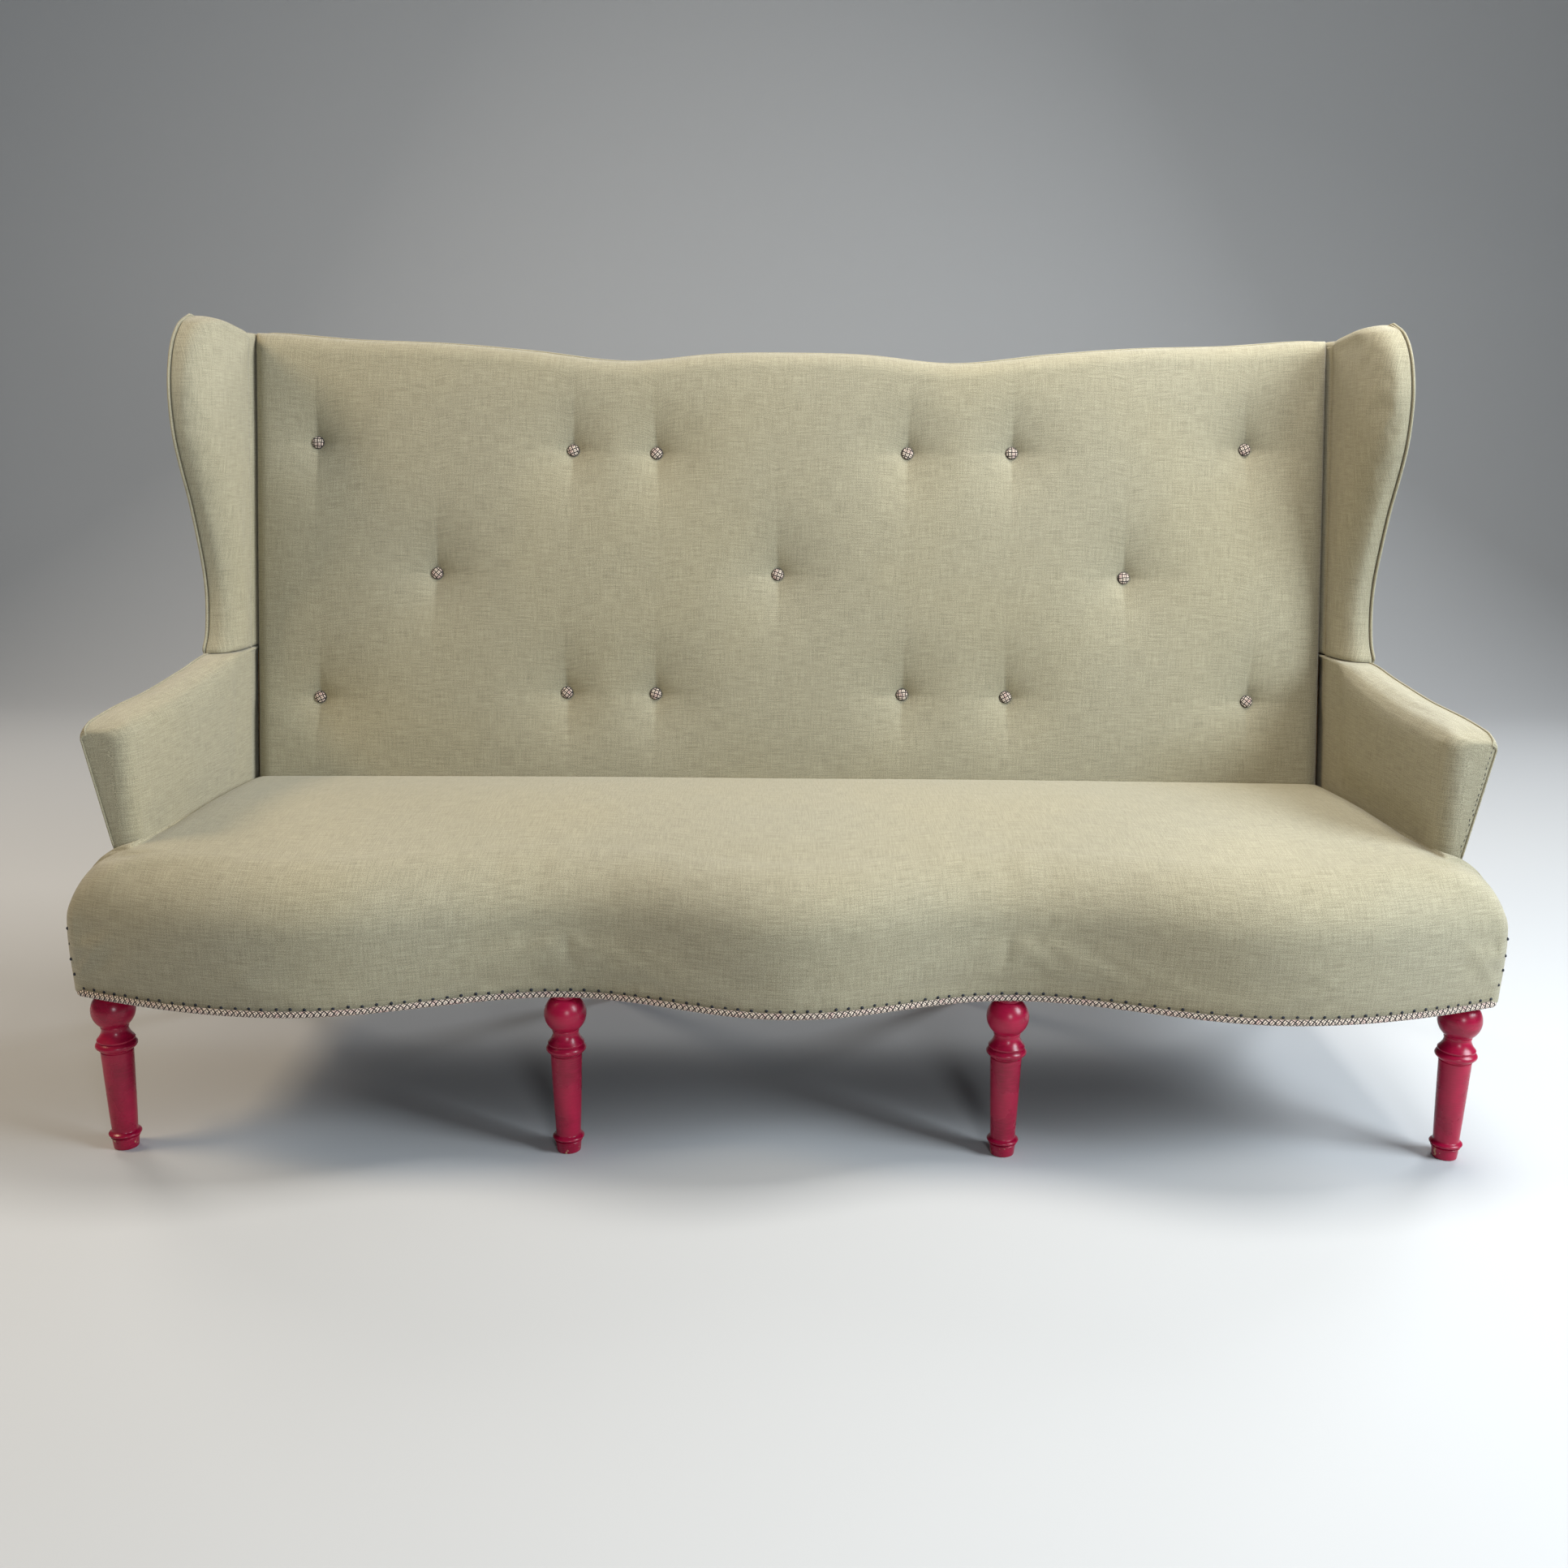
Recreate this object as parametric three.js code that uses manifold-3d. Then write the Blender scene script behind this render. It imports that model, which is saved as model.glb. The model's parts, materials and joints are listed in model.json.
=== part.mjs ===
// A high back settee with a serpentine seat front, a button-tufted back, side wings and turned front legs.
// Millimetres, +Z up. The sitter faces -Y, and the origin is on the floor under the middle of the settee.
// While it is built, y = 0 is the line of the front legs' axes.
import * as THREE from 'three';
import { mergeVertices } from 'three/addons/utils/BufferGeometryUtils.js';
import Module from 'manifold-3d';

const wasm = await Module();
wasm.setup();

// The whole settee's height, up to the tops of the wings
const height = 1208;

// Fits and cuts
const gap = 0.3; // air between two pieces that touch
const overrun = 20; // how far a cut runs past the face that it opens
const probe = 1; // step for measuring a curve's slope

// Turned front legs: foot, two beads, tapered shaft, collar, cove, ball and a plain ring under the rail
const leg = {
  height: 243,
  setIn: 49,
  footRadius: 15.5,
  footTopRadius: 18.6,
  footHeight: 16,
  lowBeadRadius: 20.4,
  lowBeadHeight: 2.6,
  highBeadRadius: 23,
  highBeadHeight: 8,
  ankleRadius: 18,
  shoulderRadius: 22.6,
  shoulderDrop: 92,
  grooveRadius: 21.6,
  grooveHeight: 3,
  collarBaseRadius: 24.5,
  collarRadius: 29,
  collarHeight: 13,
  stepRadius: 26,
  stepHeight: 3,
  neckRadius: 18.4,
  neckDrop: 55,
  ballRadius: 30.5,
  ballDrop: 29,
  ringRadius: 17,
  ringHeight: 4.6,
  studRadius: 5.5,
  studLength: 60,
};
const legSides = 14;

// Rear legs: square, tapered and raked back
const rearLeg = {
  setIn: 37,
  topSide: 34,
  footSide: 24,
  rake: 56,
  inset: 22,
};

// Seat frame under the upholstery
const rail = {
  height: 92,
  depth: 50,
  sideWidth: 37.7,
  backDepth: 45,
  crossWidth: 32,
  crossHeight: 62,
};

// Where the inner legs and the side bulges stand, as shares of the seat's half width
const innerLegShare = 0.3127;
const sideBulgeShare = 0.6785;

// Fixed seat upholstery: a skirt over the rails, a swelling face, a rolled edge and a crowned top
const seat = {
  halfWidth: 1017,
  depth: 524,
  valleyProud: 12,
  centreBulge: 78,
  sideBulge: 85,
  cornerBulge: 2,
  cornerRadius: 18,
  cornerSetback: 20,
  skirt: 4,
  nailBand: 14,
  swell: 13,
  sideSwell: 4,
  swellHeight: 112,
  rollHeight: 86,
  rollDepth: 108,
  endRoll: 89,
  crown: 19,
};

// Woven webbing straps
const strap = {
  width: 50,
  thickness: 2,
  setback: 16,
};

// Reclined back: pad, webbing, frame and outside cover, one behind the other
const back = {
  crestDip: 43,
  pad: 42,
  frame: 30,
  cover: 3,
  lip: 12,
  edgeRoll: 14,
  crown: 8,
  tuft: 20,
  tuftReach: 30,
  postWidth: 68,
  uprightWidth: 38,
  crestRailDrop: 126,
  stuffingRailDrop: 56,
  stuffingRailHeight: 55,
};
const rakeShare = 0.187; // how far the back leans for each unit of height

// Covered buttons, as shares of the back's half width and of its rise above the seat
const button = {
  radius: 10.5,
  edge: 2.4,
  dome: 3.4,
  sink: 1.5,
};
const buttonFlatShare = 0.8;
const buttonSides = 12;
const buttonShares = [
  [-0.884, 0.753], [-0.406, 0.740], [-0.250, 0.735], [0.219, 0.739], [0.414, 0.741], [0.850, 0.753],
  [-0.661, 0.459], [-0.022, 0.462], [0.627, 0.460],
  [-0.883, 0.173], [-0.417, 0.188], [-0.250, 0.187], [0.214, 0.189], [0.409, 0.185], [0.864, 0.179],
];

// The back's top edge: how much of the crest dip is taken, at shares of the half width from the middle
const crestShares = [[0, 0.63], [0.14, 0.69], [0.31, 1], [0.49, 0.62], [0.65, 0.36], [0.82, 0.24], [1, 0]];

// Arms: low, splayed outwards at the front and running up into the wings
const arm = {
  front: 61,
  frontRise: 173,
  wingRise: 215,
  setIn: 45,
  thickness: 47,
  frontTaper: 12,
  leanStart: 11,
  lining: 14,
  topLining: 16,
  frontLining: 10,
  arris: 16,
  arrisEase: 5,
  frontEase: 6,
  frameInset: 6,
  railHeight: 28,
  postDepth: 34,
};
const armLeanShare = 0.2; // the front of the arm leans out this much for each unit of height
const armTopShares = [[0, 0], [0.07, 0.1], [0.22, 0.25], [0.47, 0.39], [0.76, 0.71], [1, 1]];

// Wings: how far they stand forward of the back, as shares of their depth, at shares of their height
const wing = {
  depth: 180,
  aboveBack: 22,
  lining: 14,
  board: 20,
  topLining: 18,
  topEase: 5,
  slopeHeight: 90,
};
const wingSplayShare = 0.148;
const wingInnerSplayShare = 0.14;
const wingFrontShares = [
  [0, 0.46], [0.055, 0.4], [0.157, 0.386], [0.246, 0.431], [0.346, 0.533], [0.462, 0.672],
  [0.564, 0.822], [0.655, 0.933], [0.773, 1], [0.864, 0.983], [0.93, 0.915], [0.975, 0.8], [1, 0.66],
];

// Piping along the front, and the dust cover
const piping = {
  radius: 4.5,
};
const pipingSides = 8;
const dustCover = {
  thickness: 2,
  inset: 14,
  legClearance: 2,
};

// Lines across the settee that several pieces share
const innerLegAcross = seat.halfWidth * innerLegShare;
const outerLegAcross = seat.halfWidth - leg.setIn;
const bulgeAcross = seat.halfWidth * sideBulgeShare;
const armOuterBase = seat.halfWidth - arm.setIn;
const backHalfWidth = armOuterBase - arm.thickness;
const armInnerBack = backHalfWidth + gap;
const armInnerFront = armInnerBack + arm.frontTaper;
const sideInside = armOuterBase - back.cover - gap;
const sideRailInner = sideInside - rail.sideWidth;

// Levels and depths that several pieces share
const railBottom = leg.height + gap;
const railTop = railBottom + rail.height;
const deck = railTop + gap + strap.thickness + gap;
const swellLevel = leg.height + seat.swellHeight;
const seatTop = swellLevel + seat.rollHeight;
const wingTop = height;
const backTop = height - wing.aboveBack;
const backRise = backTop - seatTop;
const earEnd = seat.halfWidth + seat.sideSwell;
const webFront = back.pad + gap;
const frameFront = webFront + strap.thickness + gap;
const frameRear = frameFront + back.frame;
const coverFront = frameRear + gap;
const coverRear = coverFront + back.cover;
const padRear = frameFront - gap;
const seam = seatTop + arm.wingRise;
const leanLevel = seatTop - arm.leanStart;
const crestRailBottom = backTop - back.crestRailDrop;
const stuffingTop = seatTop - back.stuffingRailDrop + back.stuffingRailHeight;

const linen = { color: 0x9e9880, roughness: 0.95, metalness: 0 };
const check = { color: 0xcdb09a, roughness: 0.9, metalness: 0 };
const crimson = { color: 0xa3133f, roughness: 0.35, metalness: 0 };
const beech = { color: 0xc9a273, roughness: 0.7, metalness: 0 };
const jute = { color: 0x9a7a4c, roughness: 0.95, metalness: 0 };
const lining = { color: 0x24242a, roughness: 0.95, metalness: 0 };

const settee = new THREE.Group();

function addPiece(name, geometry, finish) {
  const mesh = new THREE.Mesh(geometry, new THREE.MeshStandardMaterial(finish));
  mesh.name = name;
  settee.add(mesh);
}

// Small helpers

function mix(from, to, t) {
  return from + (to - from) * t;
}

function clampShare(t) {
  return Math.min(1, Math.max(0, t));
}

function eased(t) {
  const share = clampShare(t);
  return (3 - 2 * share) * share * share;
}

// A smooth curve through [place, value] pairs, with level tangents at its ends
function smoothShare(pairs, place) {
  const last = pairs.length - 1;
  let i = pairs.findIndex((pair) => pair[0] >= place);
  if (i < 0) i = last;
  if (i === 0) return pairs[0][1];
  const slope = (k) => {
    if (k === 0 || k === last) return 0;
    return (pairs[k + 1][1] - pairs[k - 1][1]) / (pairs[k + 1][0] - pairs[k - 1][0]);
  };
  const span = pairs[i][0] - pairs[i - 1][0];
  const t = (place - pairs[i - 1][0]) / span;
  const rise = (3 - 2 * t) * t * t;
  const easeIn = t * (1 - t) * (1 - t) * span * slope(i - 1);
  const easeOut = t * t * (1 - t) * span * slope(i);
  return mix(pairs[i - 1][1], pairs[i][1], rise) + easeIn - easeOut;
}

function straightShare(pairs, place) {
  const i = Math.max(1, pairs.findIndex((pair) => pair[0] >= place));
  const [a, b] = [pairs[i - 1], pairs[i]];
  return mix(a[1], b[1], clampShare((place - a[0]) / (b[0] - a[0])));
}

// Places from one value to another, without the first
function steps(from, to, count) {
  return Array.from({ length: count }, (_, i) => mix(from, to, (i + 1) / count));
}

function bothSides(halfPlaces) {
  return [...halfPlaces.map((x) => -x).reverse(), 0, ...halfPlaces];
}

function point(x, y, z) {
  return new THREE.Vector3(x, y, z);
}

// Turns a list of points and faces into a geometry whose faces point outwards
function closedGeometry(points, faces) {
  let volume = 0;
  for (const [a, b, c] of faces) {
    volume += points[a].dot(points[b].clone().cross(points[c]));
  }
  const outward = volume > 0 ? faces : faces.map(([a, b, c]) => [a, c, b]);
  const geometry = new THREE.BufferGeometry();
  const places = points.flatMap((p) => [p.x, p.y, p.z]);
  geometry.setAttribute('position', new THREE.Float32BufferAttribute(places, 3));
  geometry.setIndex(outward.flat());
  return mergeVertices(geometry);
}

// A solid over a row of convex rings, with each end filled round its own middle
function loft(rings) {
  const count = rings[0].length;
  const points = rings.flat();
  const faces = [];
  for (let i = 0; i + 1 < rings.length; i++) {
    for (let j = 0; j < count; j++) {
      const a = i * count + j;
      const b = i * count + (j + 1) % count;
      faces.push([a, b, b + count], [a, b + count, a + count]);
    }
  }
  const lastRing = (rings.length - 1) * count;
  const startMiddle = points.push(middle(rings[0])) - 1;
  const endMiddle = points.push(middle(rings[rings.length - 1])) - 1;
  for (let j = 0; j < count; j++) {
    const next = (j + 1) % count;
    faces.push([startMiddle, next, j], [endMiddle, lastRing + j, lastRing + next]);
  }
  return closedGeometry(points, faces);
}

function middle(ring) {
  const sum = ring.reduce((total, p) => total.add(p), new THREE.Vector3());
  return sum.divideScalar(ring.length);
}

// A solid between two grids of points, as a stretched cover or a thick curved panel is
function panel(outer, inner) {
  const rows = outer.length;
  const columns = outer[0].length;
  const points = [...outer.flat(), ...inner.flat()];
  const at = (i, j) => i * columns + j;
  const under = rows * columns;
  const faces = [];
  for (let i = 0; i + 1 < rows; i++) {
    for (let j = 0; j + 1 < columns; j++) {
      const [a, b, c, d] = [at(i, j), at(i, j + 1), at(i + 1, j + 1), at(i + 1, j)];
      faces.push([a, b, c], [a, c, d], [under + a, under + c, under + b], [under + a, under + d, under + c]);
    }
  }
  const border = [];
  for (let j = 0; j + 1 < columns; j++) border.push([at(0, j), at(0, j + 1)]);
  for (let i = 0; i + 1 < rows; i++) border.push([at(i, columns - 1), at(i + 1, columns - 1)]);
  for (let j = columns - 1; j > 0; j--) border.push([at(rows - 1, j), at(rows - 1, j - 1)]);
  for (let i = rows - 1; i > 0; i--) border.push([at(i, 0), at(i - 1, 0)]);
  for (const [a, b] of border) {
    faces.push([a, under + b, b], [a, under + a, under + b]);
  }
  return closedGeometry(points, faces);
}

// A plan outline raised between two levels
function raise(outline, bottom, top) {
  const shape = new THREE.Shape(outline.map(([x, y]) => new THREE.Vector2(x, y)));
  const geometry = new THREE.ExtrudeGeometry(shape, { depth: top - bottom, bevelEnabled: false });
  return geometry.translate(0, 0, bottom);
}

function block(x, y, z) {
  const geometry = new THREE.BoxGeometry(x[1] - x[0], y[1] - y[0], z[1] - z[0]);
  return geometry.translate((x[0] + x[1]) / 2, (y[0] + y[1]) / 2, (z[0] + z[1]) / 2);
}

function upright(radius, x, y, bottom, top, sides) {
  const geometry = new THREE.CylinderGeometry(radius, radius, top - bottom, sides);
  return geometry.rotateX(Math.PI / 2).translate(x, y, (bottom + top) / 2);
}

function solid(geometry) {
  const bare = geometry.clone();
  for (const name of Object.keys(bare.attributes)) {
    if (name !== 'position') bare.deleteAttribute(name);
  }
  const merged = mergeVertices(bare);
  return new wasm.Manifold(new wasm.Mesh({
    numProp: 3,
    vertProperties: merged.attributes.position.array,
    triVerts: Uint32Array.from(merged.index.array),
  }));
}

function geometryOf(manifold) {
  const mesh = manifold.getMesh();
  const geometry = new THREE.BufferGeometry();
  geometry.setAttribute('position', new THREE.Float32BufferAttribute(mesh.vertProperties, mesh.numProp));
  geometry.setIndex(Array.from(mesh.triVerts));
  return geometry;
}

function cut(geometry, cutters) {
  return geometryOf(cutters.reduce((left, cutter) => left.subtract(solid(cutter)), solid(geometry)));
}

function join(geometries) {
  return geometryOf(geometries.map(solid).reduce((whole, next) => whole.add(next)));
}

// The other side's twin of a piece made on the +X side
function mirrored(geometry) {
  const twin = geometry.clone().scale(-1, 1, 1);
  const index = Array.from(twin.index.array);
  for (let i = 0; i < index.length; i += 3) {
    [index[i + 1], index[i + 2]] = [index[i + 2], index[i + 1]];
  }
  return twin.setIndex(index);
}

function addPair(name, geometry, finish) {
  addPiece(`${name}_right`, geometry, finish);
  addPiece(`${name}_left`, mirrored(geometry), finish);
}

// The front line of the seat in plan: a bulge in the middle and one towards each end, with the inner legs
// standing in the valleys between them
function frontCurve(across) {
  const x = Math.abs(across);
  let bulge;
  if (x <= innerLegAcross) {
    bulge = seat.centreBulge * (1 + Math.cos(Math.PI * x / innerLegAcross)) / 2;
  } else if (x <= bulgeAcross) {
    const t = (x - innerLegAcross) / (bulgeAcross - innerLegAcross);
    bulge = seat.sideBulge * (1 - Math.cos(Math.PI * t)) / 2;
  } else {
    const t = (x - bulgeAcross) / (seat.halfWidth - bulgeAcross);
    bulge = mix(seat.cornerBulge, seat.sideBulge, Math.cos(Math.PI / 2 * Math.min(1, t)));
  }
  return -seat.valleyProud - bulge;
}

const cornerStart = seat.halfWidth - seat.cornerRadius;
const halfStations = [
  ...steps(0, innerLegAcross, 6),
  ...steps(innerLegAcross, bulgeAcross, 7),
  ...steps(bulgeAcross, armInnerFront - gap, 5),
];
const earStations = steps(armInnerFront - gap, cornerStart, 3);
const frontPairs = [0, ...halfStations, ...earStations].map((x) => [x, frontCurve(x)]);

// The same line as straight stretches between stations, so that all that follows it fits alike
function frontY(across) {
  const x = Math.abs(across);
  if (x <= cornerStart) return straightShare(frontPairs, x);
  const t = Math.min(1, (x - cornerStart) / (earEnd - cornerStart));
  return frontCurve(x) + seat.cornerSetback * (1 - Math.sqrt(1 - t * t));
}

function railBack(across) {
  return frontY(across) + rail.depth;
}

// The front line moved inwards, square to itself
function frontLine(inset, places) {
  return places.map((x) => {
    const slope = (frontCurve(x + probe) - frontCurve(x - probe)) / (2 * probe);
    const reach = inset / Math.hypot(1, slope);
    return [x - slope * reach, frontY(x) + reach];
  });
}

// Plan outline inside the skirt, from the left corner to the right one
function skirtLine(inset) {
  const cornerX = seat.halfWidth - inset;
  const cornerY = frontY(seat.halfWidth) + 2 * inset;
  const places = bothSides([...halfStations, ...earStations]);
  return [[-cornerX, cornerY], ...frontLine(inset, places), [cornerX, cornerY]];
}

// The back's face leans: y over height on the plane of the face
function backY(z) {
  return seat.depth + rakeShare * (z - seatTop);
}

// Leans a piece that was made upright, with its depth behind the face as y
function lean(geometry) {
  const shear = new THREE.Matrix4().set(
    1, 0, 0, 0,
    0, 1, rakeShare, backY(0),
    0, 0, 1, 0,
    0, 0, 0, 1,
  );
  return geometry.applyMatrix4(shear);
}

function crestZ(across) {
  const share = Math.min(1, Math.abs(across) / backHalfWidth);
  return backTop - back.crestDip * smoothShare(crestShares, share);
}

// Arm and wing surfaces, on the +X side
function armInner(y) {
  return mix(armInnerFront, armInnerBack, clampShare((y - arm.front) / (seat.depth - arm.front)));
}

function wingShareAt(z) {
  return clampShare((z - seam) / (wingTop - seam));
}

function wingFront(z) {
  return backY(z) - wing.depth * smoothShare(wingFrontShares, wingShareAt(z));
}

function wingOuter(y, z) {
  return armOuterBase + wingSplayShare * Math.max(0, backY(z) - y);
}

function wingInner(y, z) {
  return armInnerBack + wingInnerSplayShare * Math.max(0, backY(z) - y);
}

// The wing's top edge slopes down from its front to meet the crest, and the sections near it tilt alike
function sloped(p) {
  const reach = backY(p.z) - wingFront(p.z);
  const rearShare = clampShare(1 - (backY(p.z) - p.y) / reach);
  const drop = wing.aboveBack * rearShare * eased((p.z - wingTop + wing.slopeHeight) / wing.slopeHeight);
  return point(p.x, p.y - rakeShare * drop, p.z - drop);
}

const armBackStart = wingFront(seam);
const armBackLeanShare = (wingOuter(armBackStart, seam) - armOuterBase) / (seam - leanLevel);

function armLean(y) {
  if (y <= armBackStart) {
    return mix(armLeanShare, armBackLeanShare, clampShare((y - arm.front) / (armBackStart - arm.front)));
  }
  return mix(armBackLeanShare, 0, clampShare((y - armBackStart) / (backY(seam) - armBackStart)));
}

function armOuter(y, z) {
  return armOuterBase + armLean(y) * Math.max(0, z - leanLevel);
}

function armTop(y) {
  const share = clampShare((y - arm.front) / (armBackStart - arm.front));
  return seatTop + mix(arm.frontRise, arm.wingRise, smoothShare(armTopShares, share));
}

// Front legs, turned on their own axis

function bead(profile, base, crown, from, height, count) {
  for (let i = 1; i <= count; i++) {
    const t = i / count;
    profile.push([base + (crown - base) * Math.sin(Math.PI * t), from + height * t]);
  }
}

function legProfile() {
  const shoulderLevel = leg.height - leg.shoulderDrop;
  const neckLevel = leg.height - leg.neckDrop;
  const ballLevel = leg.height - leg.ballDrop;
  const beadsFrom = leg.footHeight;
  const highBeadFrom = beadsFrom + leg.lowBeadHeight;
  const shaftFrom = highBeadFrom + leg.highBeadHeight;
  const collarFrom = shoulderLevel + leg.grooveHeight;
  const stepFrom = collarFrom + leg.collarHeight;
  const coveFrom = stepFrom + leg.stepHeight;
  const ringFrom = leg.height - leg.ringHeight;
  const profile = [[0, 0], [leg.footRadius, 0], [leg.footTopRadius, leg.footHeight]];
  bead(profile, leg.footTopRadius, leg.lowBeadRadius, beadsFrom, leg.lowBeadHeight, 3);
  bead(profile, leg.footTopRadius, leg.highBeadRadius, highBeadFrom, leg.highBeadHeight, 4);
  profile.push([leg.ankleRadius, shaftFrom + leg.grooveHeight]);
  profile.push([mix(leg.ankleRadius, leg.shoulderRadius, 0.6), mix(shaftFrom, shoulderLevel, 0.5)]);
  profile.push([leg.shoulderRadius, shoulderLevel]);
  profile.push([leg.grooveRadius, mix(shoulderLevel, collarFrom, 0.5)]);
  profile.push([leg.collarBaseRadius, collarFrom]);
  bead(profile, leg.collarBaseRadius, leg.collarRadius, collarFrom, leg.collarHeight, 4);
  profile.push([leg.stepRadius, stepFrom], [leg.stepRadius, coveFrom]);
  profile.push([mix(leg.neckRadius, leg.stepRadius, 0.32), mix(coveFrom, neckLevel, 0.5)]);
  profile.push([leg.neckRadius, neckLevel]);
  const ballFrom = -Math.acos(leg.neckRadius / leg.ballRadius);
  const ballTo = Math.asin((ringFrom - ballLevel) / leg.ballRadius);
  for (let i = 0; i <= 7; i++) {
    const turn = mix(ballFrom, ballTo, i / 7);
    profile.push([leg.ballRadius * Math.cos(turn), ballLevel + leg.ballRadius * Math.sin(turn)]);
  }
  profile.push([leg.ringRadius, ringFrom], [leg.ringRadius, leg.height]);
  profile.push([leg.studRadius, leg.height], [leg.studRadius, leg.height + leg.studLength]);
  profile.push([0, leg.height + leg.studLength]);
  return profile.map(([radius, z]) => new THREE.Vector2(radius, z));
}

function turnedLeg() {
  const geometry = new THREE.LatheGeometry(legProfile(), legSides).rotateX(Math.PI / 2);
  for (const name of ['normal', 'uv']) geometry.deleteAttribute(name);
  return mergeVertices(geometry);
}

const frontLegPlaces = {
  outer_left: -outerLegAcross,
  inner_left: -innerLegAcross,
  inner_right: innerLegAcross,
  outer_right: outerLegAcross,
};

for (const [name, x] of Object.entries(frontLegPlaces)) {
  addPiece(`front_leg_${name}`, turnedLeg().translate(x, 0, 0), crimson);
}

// Rear legs, each with a stud up into the back rail

const backRailRear = backY(railTop) + frameRear;
const backRailFront = backRailRear - rail.backDepth;
const rearLegTop = backRailRear - rearLeg.inset;

function squareRing(x, y, z, side) {
  const half = side / 2;
  return [
    point(x - half, y - half, z), point(x + half, y - half, z),
    point(x + half, y + half, z), point(x - half, y + half, z),
  ];
}

function rakedLeg(x) {
  const shaft = loft([
    squareRing(x, rearLegTop + rearLeg.rake, 0, rearLeg.footSide),
    squareRing(x, rearLegTop, leg.height, rearLeg.topSide),
  ]);
  const studTop = leg.height + leg.studLength;
  const stud = upright(leg.studRadius, x, rearLegTop, leg.height - overrun, studTop, legSides);
  return join([shaft, stud]);
}

const rearLegPlaces = {
  outer_left: rearLeg.setIn - armOuterBase,
  inner_left: -innerLegAcross,
  inner_right: innerLegAcross,
  outer_right: armOuterBase - rearLeg.setIn,
};

for (const [name, x] of Object.entries(rearLegPlaces)) {
  addPiece(`rear_leg_${name}`, rakedLeg(x), crimson);
}

// Seat frame

function studHole(x, y) {
  const top = leg.height + leg.studLength + gap;
  return upright(leg.studRadius + gap, x, y, leg.height - overrun, top, legSides);
}

const railEnd = seat.halfWidth - seat.skirt - gap;
const frontRailOutline = [
  ...skirtLine(seat.skirt + gap),
  [railEnd, railBack(railEnd)],
  ...bothSides([...halfStations, ...earStations]).reverse().map((x) => [x, railBack(x)]),
  [-railEnd, railBack(railEnd)],
];
const frontRail = cut(
  raise(frontRailOutline, railBottom, railTop),
  Object.values(frontLegPlaces).map((x) => studHole(x, 0)),
);
addPiece('front_rail', frontRail, beech);

const backRail = cut(
  block([-sideInside, sideInside], [backRailFront, backRailRear], [railBottom, railTop]),
  Object.values(rearLegPlaces).map((x) => studHole(x, rearLegTop)),
);
addPiece('back_rail', backRail, beech);

// A rail from behind the serpentine one to the back rail
function lengthwiseRail(inner, outer, height) {
  const between = [...halfStations, ...earStations].filter((x) => x > inner && x < outer);
  const front = [inner, ...between, outer].map((x) => [x, railBack(x) + gap]);
  const rear = backRailFront - gap;
  return raise([...front, [outer, rear], [inner, rear]], railBottom, railBottom + height);
}

function bare(geometry) {
  for (const name of ['normal', 'uv']) geometry.deleteAttribute(name);
  return mergeVertices(geometry);
}

addPair('side_rail', bare(lengthwiseRail(sideRailInner, sideInside, rail.height)), beech);
const crossInner = innerLegAcross - rail.crossWidth / 2;
const crossRail = lengthwiseRail(crossInner, crossInner + rail.crossWidth, rail.crossHeight);
addPair('cross_rail', bare(crossRail), beech);

// Blocks that carry the ears of the seat in front of the arms
const earBack = arm.front - gap;
const earLining = earBack - seat.skirt;
const cornerBlockInner = sideInside + gap;
const cornerBlockStations = earStations.filter((x) => x > cornerBlockInner && x < railEnd);
const cornerBlockPlaces = [cornerBlockInner, ...cornerBlockStations, railEnd];
const cornerBlockFront = cornerBlockPlaces.map((x) => [x, railBack(x) + gap]);
const cornerBlock = raise(
  [...cornerBlockFront, [railEnd, earLining - gap], [cornerBlockInner, earLining - gap]],
  railBottom,
  railTop,
);
addPair('corner_block', bare(cornerBlock), beech);

// Back frame, made upright and then leaned

const outerPost = block(
  [sideInside - back.postWidth, sideInside],
  [frameFront, frameRear],
  [railTop + gap, crestRailBottom - gap],
);
addPair('back_post', bare(lean(outerPost)), beech);

const postInside = sideInside - back.postWidth - gap;
const stuffingRail = block(
  [-postInside, postInside],
  [frameFront, frameRear],
  [stuffingTop - back.stuffingRailHeight, stuffingTop],
);
addPiece('stuffing_rail', lean(stuffingRail), beech);

const middleUpright = block(
  [innerLegAcross - back.uprightWidth / 2, innerLegAcross + back.uprightWidth / 2],
  [frameFront, frameRear],
  [stuffingTop + gap, crestRailBottom - gap],
);
addPair('back_upright', bare(lean(middleUpright)), beech);

const crestStations = bothSides([...steps(0, backHalfWidth, 14), sideInside - gap]);
const crestRail = loft(crestStations.map((x) => {
  const top = crestZ(x) - back.lip - gap;
  return [
    point(x, frameFront, crestRailBottom), point(x, frameRear, crestRailBottom),
    point(x, frameRear, top), point(x, frameFront, top),
  ];
}));
addPiece('crest_rail', lean(crestRail), beech);

// Webbing: straps crossed under the seat and behind the back

const seatStrapAcrossShares = [-0.94, -0.705, -0.47, -0.235, 0, 0.235, 0.47, 0.705, 0.94];
const seatStrapDepthShares = [0.22, 0.5, 0.78];
const seatStraps = [];
for (const share of seatStrapAcrossShares) {
  const x = share * sideRailInner;
  const front = Math.max(frontY(x - strap.width / 2), frontY(x + strap.width / 2)) + strap.setback;
  seatStraps.push(block(
    [x - strap.width / 2, x + strap.width / 2],
    [front, backRailRear - rail.backDepth + strap.setback / 2],
    [railTop + gap, railTop + gap + strap.thickness],
  ));
}
for (const share of seatStrapDepthShares) {
  const y = mix(arm.front, backRailFront, share);
  seatStraps.push(block(
    [-sideInside + gap, sideInside - gap],
    [y - strap.width / 2, y + strap.width / 2],
    [railTop + gap, railTop + gap + strap.thickness],
  ));
}
addPiece('seat_webbing', join(seatStraps), jute);

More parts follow.
